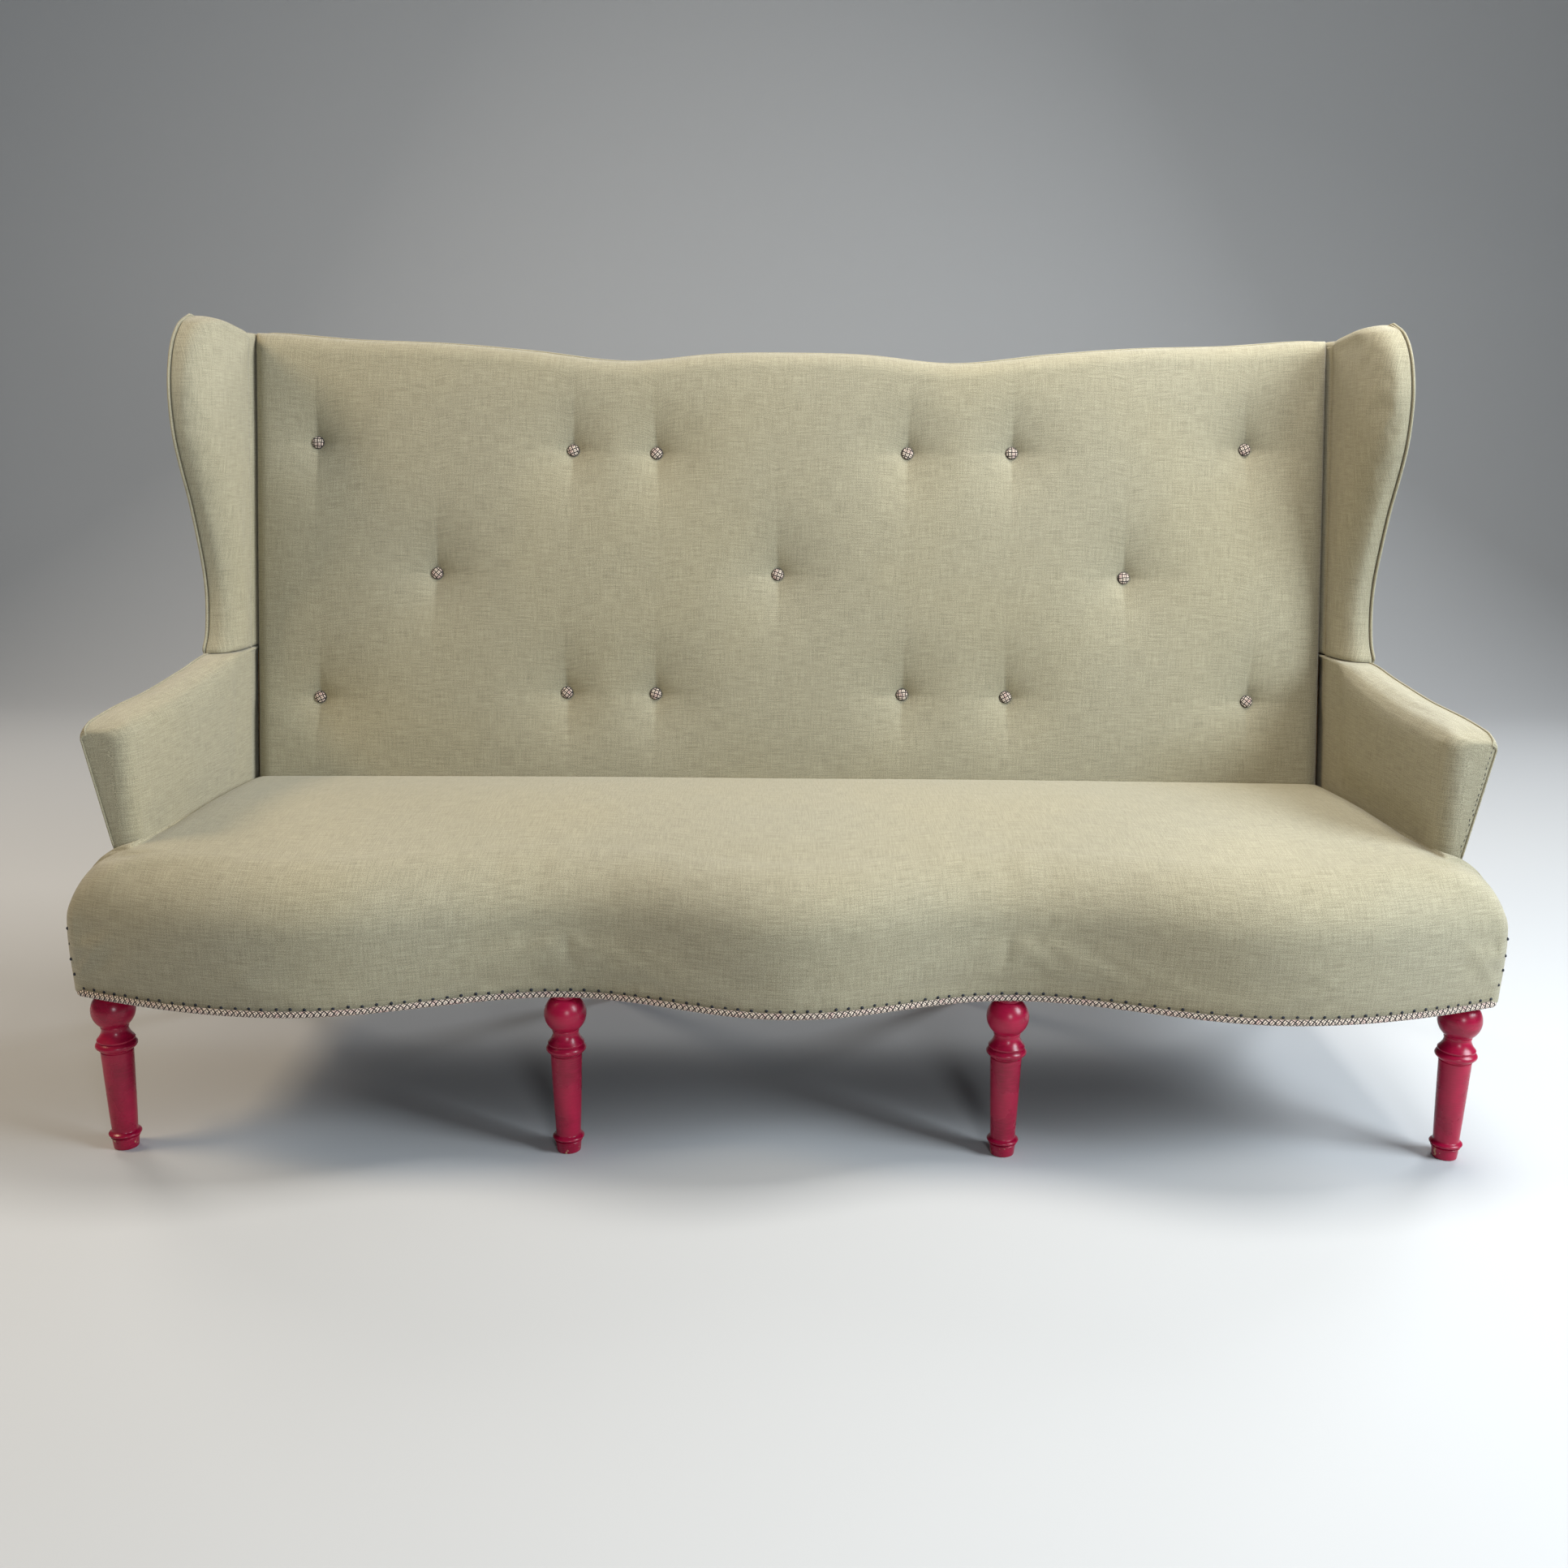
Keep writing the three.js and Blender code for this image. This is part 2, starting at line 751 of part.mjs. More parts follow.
const backStrapAcrossShares = [-0.86, -0.645, -0.43, -0.215, 0, 0.215, 0.43, 0.645, 0.86];
const backStrapHeightShares = [0.18, 0.45, 0.72];
const backStraps = [];
for (const share of backStrapAcrossShares) {
  const x = share * backHalfWidth;
  backStraps.push(block(
    [x - strap.width / 2, x + strap.width / 2],
    [webFront, webFront + strap.thickness],
    [stuffingTop - back.stuffingRailHeight + strap.setback, crestRailBottom + strap.width],
  ));
}
for (const share of backStrapHeightShares) {
  const z = mix(seatTop, backTop, share);
  backStraps.push(block(
    [-backHalfWidth + strap.thickness, backHalfWidth - strap.thickness],
    [webFront, webFront + strap.thickness],
    [z - strap.width / 2, z + strap.width / 2],
  ));
}
addPiece('back_webbing', lean(join(backStraps)), jute);

// Seat upholstery: sections across the settee, each from the skirt's edge over the rolled front to the back

const frontFaceShares = [0, 0.125, 0.5, 1];
const rollTurnShares = [0.22, 0.44, 0.66, 0.86, 1];
const topShares = [0.2, 0.45, 0.7, 0.88];
const rollReachShare = 0.8;

function seatSection(across, rearY) {
  const x = Math.abs(across);
  const pastSide = clampShare((x - seat.halfWidth) / seat.sideSwell);
  const sideRise = seat.swellHeight - seat.nailBand;
  const band = pastSide > 0 ? seat.nailBand : 0;
  const bottom = leg.height + band + sideRise * Math.asin(pastSide) * 2 / Math.PI;
  const endShare = clampShare((x - earEnd + seat.endRoll) / seat.endRoll);
  const top = swellLevel + seat.rollHeight * Math.sqrt(1 - endShare * endShare);
  const cornerShare = clampShare((x - cornerStart) / (earEnd - cornerStart));
  const swell = seat.swell * Math.sqrt(1 - cornerShare * cornerShare);
  const front = frontY(x);
  const section = frontFaceShares.map((share) => {
    const z = mix(bottom, swellLevel, share);
    const swellShare = clampShare((z - leg.height - seat.nailBand) / sideRise);
    return [front - swell * Math.sin(Math.PI / 2 * swellShare), z];
  });
  const faceY = front - swell;
  const fullRoll = Math.min(seat.rollDepth, (rearY(top) - faceY) * rollReachShare);
  const earRoll = Math.min(fullRoll, (againstArm() - faceY) * rollReachShare);
  const rollDepth = mix(fullRoll, earRoll, eased((x - bulgeAcross) / (armInnerFront - bulgeAcross)));
  for (const share of rollTurnShares) {
    const turn = share * Math.PI / 2;
    section.push([faceY + rollDepth * (1 - Math.cos(turn)), swellLevel + (top - swellLevel) * Math.sin(turn)]);
  }
  const crownShare = 1 - clampShare(x / armInnerFront) ** 4;
  const crestY = faceY + rollDepth;
  for (const share of topShares) {
    section.push([mix(crestY, rearY(top), share), top + seat.crown * crownShare * Math.sin(Math.PI * share)]);
  }
  section.push([rearY(top), top], [rearY(bottom), bottom]);
  return section;
}

const againstBack = (z) => backY(z) - gap;
const againstArm = () => earBack;
const bodyStations = bothSides(halfStations);
const earRun = steps(0, earEnd - armInnerFront, 1)[0];
const earShares = [0, 0.2, 0.4, 0.57, 0.72, 0.82, 0.885, 0.95, 0.975, 0.99];

function bodyRing(across) {
  return seatSection(across, againstBack).map(([y, z]) => {
    const reach = Math.min(Math.abs(across), armInner(y) - gap);
    return point(Math.sign(across) * reach, y, z);
  });
}

function earRing(side, share) {
  const x = armInnerFront + earRun * share;
  return seatSection(x, againstArm).map(([y, z]) => point(side * x, y, z));
}

const seatSolid = loft([
  ...earShares.map((share) => earRing(-1, share)).reverse(),
  ...bodyStations.map(bodyRing),
  ...earShares.map((share) => earRing(1, share)),
]);
const underRear = backRailRear + overrun;
const underCorner = seat.halfWidth - seat.skirt;
const underArm = armOuterBase + gap;
const underRight = [[underCorner, earLining], [underArm, earLining], [underArm, underRear]];
const underLeft = underRight.map(([x, y]) => [-x, y]).reverse();
const underSeat = raise([...skirtLine(seat.skirt), ...underRight, ...underLeft], leg.height - overrun, deck);
addPiece('seat_pad', cut(seatSolid, [underSeat]), linen);

// Back upholstery: a tufted face, a rolled top edge and a lip over the crest rail

const buttonPlaces = buttonShares.map(([across, up]) => [across * backHalfWidth, seatTop + up * backRise]);

function tuftDepth(x, z) {
  const near = Math.min(...buttonPlaces.map(([bx, bz]) => Math.hypot(x - bx, z - bz)));
  const pull = back.tuft * Math.exp(-Math.max(0, near - button.radius * buttonFlatShare) / back.tuftReach);
  const across = clampShare(Math.abs(x) / backHalfWidth);
  const up = clampShare((z - seatTop) / (crestZ(x) - seatTop));
  const crown = back.crown * (1 - across ** 8) * Math.sqrt(Math.sin(Math.PI * up));
  return z <= seatTop ? 0 : pull * Math.min(1, Math.sin(Math.PI * up) * 2) - crown;
}

const tuftColumnShares = [-0.883, -0.661, -0.412, -0.25, -0.022, 0.217, 0.411, 0.627, 0.857];
const tuftSpreadShare = 0.035;
const fillColumnShares = [
  -1, -0.98, -0.945, -0.795, -0.735, -0.58, -0.5, -0.33, -0.17, -0.1,
  0.06, 0.14, 0.315, 0.48, 0.55, 0.7, 0.78, 0.93, 0.98, 1,
];
const padColumns = [
  ...tuftColumnShares.flatMap((share) => [share - tuftSpreadShare, share, share + tuftSpreadShare]),
  ...fillColumnShares,
].sort((a, b) => a - b).map((share) => share * (backHalfWidth - gap));
const padRowShares = [0, 0.075, 0.14, 0.185, 0.23, 0.32, 0.41, 0.46, 0.51, 0.6, 0.695, 0.742, 0.79, 0.86];

function padRing(x) {
  const crest = crestZ(x);
  const face = padRowShares.map((share) => {
    const z = seatTop + share * backRise;
    return point(x, tuftDepth(x, z), z);
  });
  return [
    point(x, coverRear, deck),
    point(x, 0, deck),
    ...face,
    point(x, 0, crest - back.edgeRoll),
    point(x, back.edgeRoll * 0.3, crest - back.edgeRoll * 0.3),
    point(x, back.edgeRoll, crest),
    point(x, coverRear, crest),
  ];
}

const underCrest = loft(crestStations.map((x) => {
  const top = crestZ(x) - back.lip;
  return [
    point(x, back.pad, deck - overrun), point(x, coverRear + overrun, deck - overrun),
    point(x, coverRear + overrun, top), point(x, back.pad, top),
  ];
}));

// A button's seat: straight back into the pad, square to its face
const faceTurn = Math.atan(rakeShare);

function placeOnFace(geometry, x, z, depth) {
  return geometry.rotateX(-faceTurn).translate(x, backY(z) + depth, z);
}

// How deep a button's flat side lies
function buttonDepth(x, z) {
  return tuftDepth(x, z) + button.sink;
}

function buttonSeat([x, z]) {
  const length = back.tuft + overrun;
  const socket = new THREE.CylinderGeometry(button.radius + gap, button.radius + gap, length, buttonSides);
  return placeOnFace(socket.translate(0, -length / 2, 0), x, z, buttonDepth(x, z));
}

const backPad = lean(cut(loft(padColumns.map(padRing)), [underCrest]));
addPiece('back_pad', cut(backPad, buttonPlaces.map(buttonSeat)), linen);

// Covered buttons, domed to the front

function coveredButton() {
  const profile = [
    [0, 0], [button.radius, 0], [button.radius, button.edge],
    [button.radius * 0.8, button.edge + button.dome * 0.6],
    [button.radius * 0.45, button.edge + button.dome * 0.92],
    [0, button.edge + button.dome],
  ];
  const points = profile.map(([radius, height]) => new THREE.Vector2(radius, height));
  return bare(new THREE.LatheGeometry(points, buttonSides)).rotateX(Math.PI);
}

const buttonNames = ['top', 'middle', 'bottom'].flatMap((row) => {
  const count = row === 'middle' ? 3 : 6;
  return Array.from({ length: count }, (_, i) => `button_${row}_${i + 1}`);
});

// The lathe's axis is Y, and turned over its flat side faces the pad
buttonPlaces.forEach(([x, z], i) => {
  const geometry = coveredButton();
  addPiece(buttonNames[i], placeOnFace(geometry, x, z, buttonDepth(x, z) - gap), check);
});

// Arm frames and pads

const armStations = [
  ...steps(arm.front, armBackStart, 9),
  ...steps(armBackStart, backY(seam) - wing.lining, 2),
];

function armRail(grow, outward) {
  const section = (y, place) => {
    const top = armTop(y) - arm.topLining + grow;
    const low = armTop(y) - arm.topLining - arm.railHeight - grow;
    const inner = armInner(y) + arm.lining - grow;
    return [[inner, low], [inner, top], [armOuter(y, top) - arm.frameInset + outward, top],
      [armOuter(y, low) - arm.frameInset + outward, low]].map(([x, z]) => point(x, place(z), z));
  };
  const start = arm.front + arm.frontLining - grow;
  const middleStations = armStations.filter((y) => y > start + arm.frontLining);
  const behind = backY(seam);
  return loft([
    section(start, () => start),
    ...middleStations.map((y) => section(y, () => y)),
    section(behind, (z) => backY(z) + padRear + grow * 2),
  ]);
}

function armPost(grow, outward) {
  const front = arm.front + arm.frontLining - grow;
  const rear = front + arm.postDepth + 2 * grow;
  const inner = armInner(rear) + arm.lining - grow;
  const top = armTop(front) - arm.topLining - arm.railHeight - gap + grow;
  const bottom = grow > 0 ? railTop - overrun : railTop + gap;
  return loft([bottom, leanLevel, top].map((z) => {
    const outerRear = armOuter(rear, z) - arm.frameInset + outward;
    const outerFront = armOuter(front, z) - arm.frameInset + outward;
    return [
      point(inner, front, z), point(outerFront, front, z),
      point(outerRear, rear, z), point(inner, rear, z),
    ];
  }));
}

function wingBoard(grow, outward) {
  const bottom = seam - arm.topLining + gap - grow;
  const top = wingTop - wing.topLining + grow;
  const between = wingFrontShares.map(([share]) => mix(seam, wingTop, share));
  const levels = [bottom, seam, ...between.filter((z) => z > seam && z < top - wing.lining), top];
  const grid = (inward) => levels.map((z) => {
    const places = [wingFront(z) + wing.lining - grow, backY(z), backY(z) + padRear - gap + 2 * grow];
    return places.map((y) => sloped(point(wingOuter(y, z) - back.cover - 2 * gap - inward, y, z)));
  });
  return panel(grid(-outward), grid(wing.board + grow));
}

addPair('arm_rail', armRail(0, 0), beech);
addPair('arm_post', armPost(0, 0), beech);
addPair('wing_board', wingBoard(0, 0), beech);

function armPadRing(y, ease, place) {
  const top = armTop(y) - ease;
  const inner = armInner(y) + ease;
  const skin = back.cover + gap;
  const outline = [
    [inner, deck], [inner, top - arm.arris],
    [inner + arm.arrisEase, top - arm.arrisEase], [inner + arm.arris, top],
    [armOuter(y, top) - skin, top], [armOuter(y, leanLevel) - skin, leanLevel], [armOuterBase - skin, deck],
  ];
  return outline.map(([x, z]) => point(x, place(z), z));
}

const armPadSolid = loft([
  armPadRing(arm.front, arm.frontEase, () => arm.front),
  armPadRing(arm.front + arm.frontEase, 0, () => arm.front + arm.frontEase),
  ...armStations.map((y) => armPadRing(y, 0, () => y)),
  armPadRing(backY(seam), 0, (z) => backY(z) + padRear),
]);
const armFrame = [armRail(gap, overrun), armPost(gap, overrun), wingBoard(gap, overrun)];
addPair('arm_pad', cut(armPadSolid, armFrame), linen);

// Wing pads: the inner face with its rolled front, and the flat outer face, from the rear to the front

function wingPadInside(z, ease) {
  const front = wingFront(z) + ease;
  const rear = backY(z) + coverRear - ease;
  const inner = wingInner(front, z) + ease;
  return [
    point(armInnerBack + ease, rear, z),
    point(armInnerBack + ease, backY(z), z),
    point(wingInner(front + arm.arris, z) + ease, front + arm.arris, z),
    point(inner + arm.arrisEase, front + arm.arrisEase, z),
    point(inner + arm.arris, front, z),
  ].map(sloped);
}

function wingPadOutside(z, ease) {
  const front = wingFront(z) + ease;
  const places = [backY(z) + coverRear - ease, backY(z), front + arm.arris, front + arm.arrisEase, front];
  return places.map((y) => sloped(point(wingOuter(y, z) - back.cover - gap, y, z)));
}

const wingLevels = wingFrontShares.map(([share]) => mix(seam + gap, wingTop - wing.topEase, share));
const wingPadSolid = panel(
  [...wingLevels.map((z) => wingPadInside(z, 0)), wingPadInside(wingTop, wing.topEase)],
  [...wingLevels.map((z) => wingPadOutside(z, 0)), wingPadOutside(wingTop, wing.topEase)],
);
const postPocket = lean(block(
  [backHalfWidth - overrun, armOuterBase + overrun],
  [padRear, coverRear + overrun],
  [seam - overrun, crestZ(backHalfWidth) - back.lip],
));
addPair('wing_pad', cut(wingPadSolid, [postPocket, wingBoard(gap, overrun)]), linen);

// Outside covers, stretched over the frame

function coverY(z) {
  return backY(Math.max(z, railTop));
}

function armCoverRow(y, place) {
  const levels = [armTop(y), leanLevel, railTop, leg.height + strap.thickness];
  return (inset) => levels.map((z) => point(armOuter(y, z) - inset, place(z), z));
}

const armCoverRows = [
  armCoverRow(arm.front, () => arm.front),
  armCoverRow(arm.front + arm.frontEase, () => arm.front + arm.frontEase),
  ...armStations.map((y) => armCoverRow(y, () => y)),
  armCoverRow(backY(seam), (z) => coverY(z) + coverRear),
];
addPair('outside_arm_cover', panel(
  armCoverRows.map((row) => row(0)),
  armCoverRows.map((row) => row(back.cover)),
), linen);

function wingCoverRow(z, inset) {
  const front = wingFront(z);
  return [
    point(wingOuter(front, z) - inset, front, z),
    point(armOuterBase - inset, backY(z), z),
    point(armOuterBase - inset, backY(z) + coverRear, z),
  ].map(sloped);
}

const wingCoverLevels = [...wingLevels, wingTop];
addPair('outside_wing_cover', panel(
  wingCoverLevels.map((z) => wingCoverRow(z, 0)),
  wingCoverLevels.map((z) => wingCoverRow(z, back.cover)),
), linen);

function backCoverColumn(x, depth) {
  const top = crestZ(x) - back.lip - gap;
  return [leg.height + strap.thickness, railTop, top].map((z) => point(x, coverY(z) + depth, z));
}

addPiece('outside_back_cover', panel(
  crestStations.map((x) => backCoverColumn(x, coverRear)),
  crestStations.map((x) => backCoverColumn(x, coverFront)),
), linen);

// Dust cover under the seat, cut round the legs

const dustOutline = [
  ...frontLine(dustCover.inset, bothSides(halfStations)),
  [armInnerFront - gap, backRailRear - dustCover.legClearance],
  [-armInnerFront + gap, backRailRear - dustCover.legClearance],
];
const dustTop = leg.height;
const dustBottom = dustTop - dustCover.thickness;
const legCuts = [
  ...Object.values(frontLegPlaces).map((x) => {
    const radius = leg.ringRadius + dustCover.legClearance;
    return upright(radius, x, 0, dustBottom - overrun, dustTop + overrun, legSides);
  }),
  ...Object.values(rearLegPlaces).map((x) => {
    const half = rearLeg.topSide / 2 + dustCover.legClearance;
    const deep = [rearLegTop - half, rearLegTop + half];
    return block([x - half, x + half], deep, [dustBottom - overrun, dustTop + overrun]);
  }),
];
addPiece('dust_cover', cut(raise(dustOutline, dustBottom, dustTop), legCuts), lining);

// Piping along the lower edge of the seat's front, from corner to corner

const pipingLevel = leg.height + gap + piping.radius + gap;
const pipingPlaces = bothSides([...halfStations, ...earStations]);
const pipingRings = Array.from({ length: pipingSides }, (_, i) => {
  const turn = 2 * Math.PI * i / pipingSides;
  const line = frontLine(-piping.radius - gap - piping.radius * Math.cos(turn), pipingPlaces);
  return line.map(([x, y]) => point(x, y, pipingLevel + piping.radius * Math.sin(turn)));
});
addPiece('seat_piping', loft(pipingPlaces.map((_, k) => pipingRings.map((line) => line[k]))), check);

// The origin goes under the middle of the whole settee
const bounds = new THREE.Box3().setFromObject(settee);
settee.position.y = -(bounds.min.y + bounds.max.y) / 2;

export default settee;
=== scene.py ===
# A high back settee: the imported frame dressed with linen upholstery, turned crimson legs,
# check buttons and piping.
# Lengths are in metres, in the frame's own axes: the sitter faces -Y and the floor is at Z = 0.
import json
import math

import bmesh
import bpy
import numpy as np
from bpy.props import FloatProperty, FloatVectorProperty, PointerProperty
from mathutils import Matrix, Vector


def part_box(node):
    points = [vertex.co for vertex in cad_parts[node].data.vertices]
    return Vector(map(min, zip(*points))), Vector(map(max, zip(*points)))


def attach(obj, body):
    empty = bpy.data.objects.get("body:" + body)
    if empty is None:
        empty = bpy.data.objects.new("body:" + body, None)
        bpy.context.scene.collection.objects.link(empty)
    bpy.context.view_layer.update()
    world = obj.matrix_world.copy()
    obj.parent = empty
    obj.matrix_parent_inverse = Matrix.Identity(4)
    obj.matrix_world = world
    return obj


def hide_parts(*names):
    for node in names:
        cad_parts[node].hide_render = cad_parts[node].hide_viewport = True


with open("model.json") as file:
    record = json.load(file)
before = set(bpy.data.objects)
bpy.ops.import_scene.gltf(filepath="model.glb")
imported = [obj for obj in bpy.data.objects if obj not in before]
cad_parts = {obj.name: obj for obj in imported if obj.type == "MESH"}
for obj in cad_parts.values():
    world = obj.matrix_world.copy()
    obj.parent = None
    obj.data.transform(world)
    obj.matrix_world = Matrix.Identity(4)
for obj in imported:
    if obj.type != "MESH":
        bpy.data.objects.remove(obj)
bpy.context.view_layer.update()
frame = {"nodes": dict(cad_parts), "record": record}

bl_info = {
    "name": "High Back Settee",
    "version": (1, 0, 0),
    "blender": (4, 5, 0),
    "location": "3D View > Sidebar > Settee",
    "description": "Dresses the frame of a high back settee in linen, piping, nails and turned legs",
    "category": "Add Mesh",
}

SIDES = {"left": -1.0, "right": 1.0}

# Lines that the frame gives
LEG_LOW, LEG_HIGH = (Vector(corner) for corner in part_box("front_leg_inner_right"))
AXIS_Y = (LEG_LOW.y + LEG_HIGH.y) / 2
INNER_LEG = (LEG_LOW.x + LEG_HIGH.x) / 2
LEG_TOP = 0.243

# Room between pieces that touch, and the least step from one section to the next
GAP = 0.0003
STEP = 0.0001

# Seat
DECK = 0.3379
RAIL_TOP = 0.3353
SWELL_START = LEG_TOP + 0.014
SWELL_LEVEL = 0.355
SEAT_TOP = 0.441
SEAT_DEPTH = 0.524
HALF_SEAT = 1.017
EAR_END = 1.021
EAR_ROUND = 0.089
CORNER_START = HALF_SEAT - 0.018
CORNER_ROUND = 0.020
BULGE = 0.690
MIDDLE_BULGE = 0.078
SIDE_BULGE = 0.085
CORNER_BULGE = 0.002
FRONT_REACH = 0.012
FRONT_SWELL = 0.013
FRONT_ROLL = 0.108
SEAT_CROWN = 0.019
SKIRT = 0.004

# Back, whose pad lies in front of its frame and laps over the crest rail
HALF_BACK = 0.925
BACK_TOP = 1.186
BACK_ROWS_TOP = 1.128
CREST_DROP = 0.043
CREST_LAP = 0.0118
RAKE = 0.187
PAD_THICKNESS = 0.0417
BACK_THICKNESS = 0.0779
SIDE_ROLL_WIDTH = 0.028
SIDE_ROLL_DEPTH = 0.022

# Arms
ARM_INNER_BACK = 0.9253
ARM_INNER_FRONT = 0.9373
ARM_OUTER = 0.972
ARM_FRONT = 0.061
ARM_RISE = 0.173
ARM_CLIMB = 0.042
ARM_ROUND = 0.024
ARM_DRAW = 0.026
ARM_TOP_DROP = 0.4
LEAN_LEVEL = 0.430
FRONT_LEAN = 0.2
ARM_PAD_THICKNESS = 0.0135

# Wings
SEAM = 0.656
WING_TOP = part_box("wing_pad_right")[1][2]
ABOVE_BACK = WING_TOP - BACK_TOP
WING_REACH = 0.180
INNER_SPLAY = 0.14
OUTER_SPLAY = 0.148
SLOPE_HEIGHT = 0.090
BOARD_TOP = 1.1904
POST_TOP = 1.1952

# Outside covers: their lower end, the room that the pads leave for them, and their turned edge
COVER_LOW = 0.245
COVER_SKIN = 0.0033
COVER_THICKNESS = 0.0024
COVER_EDGE = 0.008
COVER_REAR = 0.0776

# How the seat turns down at its edges, and how the arms and wings draw away from the back
EDGE_ROLL_WIDTH = 0.026
EDGE_ROLL_DEPTH = 0.013
SIDE_GAP_WIDTH = 0.030
SIDE_GAP_DEPTH = 0.0065

CHECK_PITCH = 0.0062

CREST_POINTS = [(0, 0.63), (0.14, 0.69), (0.31, 1), (0.49, 0.62), (0.65, 0.36), (0.82, 0.24), (1, 0)]
ARM_TOP_POINTS = [(0, 0), (0.07, 0.1), (0.22, 0.25), (0.47, 0.39), (0.76, 0.71), (1, 1)]
WING_POINTS = [
    (0, 0.46), (0.055, 0.4), (0.157, 0.386), (0.246, 0.431), (0.346, 0.533), (0.462, 0.672),
    (0.564, 0.822), (0.655, 0.933), (0.773, 1), (0.864, 0.983), (0.93, 0.915), (0.975, 0.8), (1, 0.66),
]
BUTTON_POINTS = [
    (-0.884, 0.753), (-0.406, 0.740), (-0.250, 0.735), (0.219, 0.739), (0.414, 0.741), (0.850, 0.753),
    (-0.661, 0.459), (-0.022, 0.462), (0.627, 0.460),
    (-0.883, 0.173), (-0.417, 0.188), (-0.250, 0.187), (0.214, 0.189), (0.409, 0.185), (0.864, 0.179),
]
BUTTON_ROWS = (("top", 6), ("middle", 3), ("bottom", 6))
BUTTON_NODES = [f"button_{row}_{i + 1}" for row, count in BUTTON_ROWS for i in range(count)]
BUTTON_PLACES = [(x * HALF_BACK, SEAT_TOP + up * (BACK_TOP - SEAT_TOP)) for x, up in BUTTON_POINTS]


def metres(name, description, default, low=-100.0):
    """A size in metres, with its lowest value."""
    return FloatProperty(name=name, description=description, default=default, min=low, unit="LENGTH")


def degrees(name, description, default):
    """An angle, given here in degrees."""
    return FloatProperty(name=name, description=description, default=math.radians(default), unit="ROTATION")


def colour_property(name, description, default):
    """A colour, as linear values."""
    return FloatVectorProperty(name=name, description=description, default=default, subtype="COLOR", size=3)


class SetteeSizes(bpy.types.PropertyGroup):
    """Sizes of the dressed settee that a user would change."""

    button_radius: metres("Button radius", "Radius of a covered button", 0.0105, 0.005)
    tuft_depth: metres("Tuft depth", "How deep a button pulls the back in", 0.0215, 0.0)
    crease_share: FloatProperty(
        name="Crease share", description="Share of a tuft's depth that follows the weave, not the button",
        default=0.62, min=0.0, max=1.0, subtype="FACTOR")
    stuffing_rise: metres("Stuffing rise", "Most that the stuffing may lift a cover", 0.004, 0.0)
    stuffing_pressure: FloatProperty(
        name="Stuffing pressure", description="Pressure inside a cover while it is stuffed",
        default=4.0, min=0.0)
    piping_radius: metres("Piping radius", "Radius of the check piping under the seat's edge", 0.0045, 0.001)
    nail_spacing: metres("Nail spacing", "Distance between the nails above the piping", 0.0192, 0.005)
    nail_radius: metres("Nail radius", "Radius of a nail's domed head", 0.0025, 0.0005)
    welt_radius: metres("Welt radius", "Radius of the linen cord sewn into the edges", 0.0021, 0.0005)
    stitch_length: metres("Stitch length", "Length of a hand stitch on the arm's outer edge", 0.0044, 0.001)
    camera_height: metres("Camera height", "Height of the camera above the floor", 1.0362)
    camera_distance: metres("Camera distance", "From the camera to the line of the front legs", 2.0351)
    camera_across: metres("Camera across", "How far right of the settee's middle the camera stands", -0.0063)
    camera_pitch: degrees("Camera pitch", "How far the camera looks down", 13.336)
    camera_roll: degrees("Camera roll", "How far the camera is turned about its own line of sight", 0.454)
    lens: FloatProperty(
        name="Lens", description="Focal length on a 36 mm sensor, in millimetres", default=34.66, min=5.0)


class SetteeColours(bpy.types.PropertyGroup):
    """Colours of the settee's finishes, as linear values."""

    linen: colour_property("Linen", "Base colour of the linen", (0.328, 0.302, 0.210))
    linen_thread: colour_property("Linen thread", "Colour of the linen's paler threads", (0.52, 0.48, 0.345))
    crimson: colour_property("Crimson", "Colour of the legs' paint", (0.38, 0.004, 0.042))
    worn_wood: colour_property("Worn wood", "Wood that shows where the paint is chipped", (0.52, 0.33, 0.19))
    cream: colour_property("Cream", "Cream threads of the check cloth", (0.80, 0.68, 0.56))
    pink: colour_property("Pink", "Pink threads of the check cloth", (0.74, 0.50, 0.45))
    black: colour_property("Black", "Black threads of the check cloth", (0.022, 0.017, 0.018))
    nail: colour_property("Nail", "Dark metal of the nails", (0.035, 0.04, 0.055))
    beech: colour_property("Beech", "Bare wood of the hidden frame", (0.58, 0.37, 0.19))
    jute: colour_property("Jute", "Webbing straps", (0.33, 0.21, 0.09))
    cambric: colour_property("Cambric", "Dust cover under the seat", (0.02, 0.02, 0.024))
    floor: colour_property("Floor", "The pale floor", (0.54, 0.55, 0.56))


# Curves that shape the covers

def share_curve(pairs, place):
    """A smooth curve through (place, value) pairs, level at both ends, for an array of places."""
    xs = np.array([p[0] for p in pairs], float)
    ys = np.array([p[1] for p in pairs], float)
    slopes = np.zeros(len(xs))
    slopes[1:-1] = (ys[2:] - ys[:-2]) / (xs[2:] - xs[:-2])
    place = np.clip(np.asarray(place, float), xs[0], xs[-1])
    i = np.clip(np.searchsorted(xs, place), 1, len(xs) - 1)
    span = xs[i] - xs[i - 1]
    t = (place - xs[i - 1]) / span
    rise = (3 - 2 * t) * t * t
    value = ys[i - 1] + (ys[i] - ys[i - 1]) * rise
    value += t * (1 - t) ** 2 * span * slopes[i - 1]
    return value - t * t * (1 - t) * span * slopes[i]


def smooth_step(start, end, value):
    t = np.clip((np.asarray(value, float) - start) / (end - start), 0, 1)
    return t * t * (3 - 2 * t)


def share_between(value, start, end):
    """Where a value lies on the way from start to end, from 0 to 1."""
    return min(1.0, max(0.0, (value - start) / (end - start)))


def rounded(share):
    """How far a quarter circle has turned away, as a share of its depth."""
    return 1 - np.sqrt(1 - share * share)


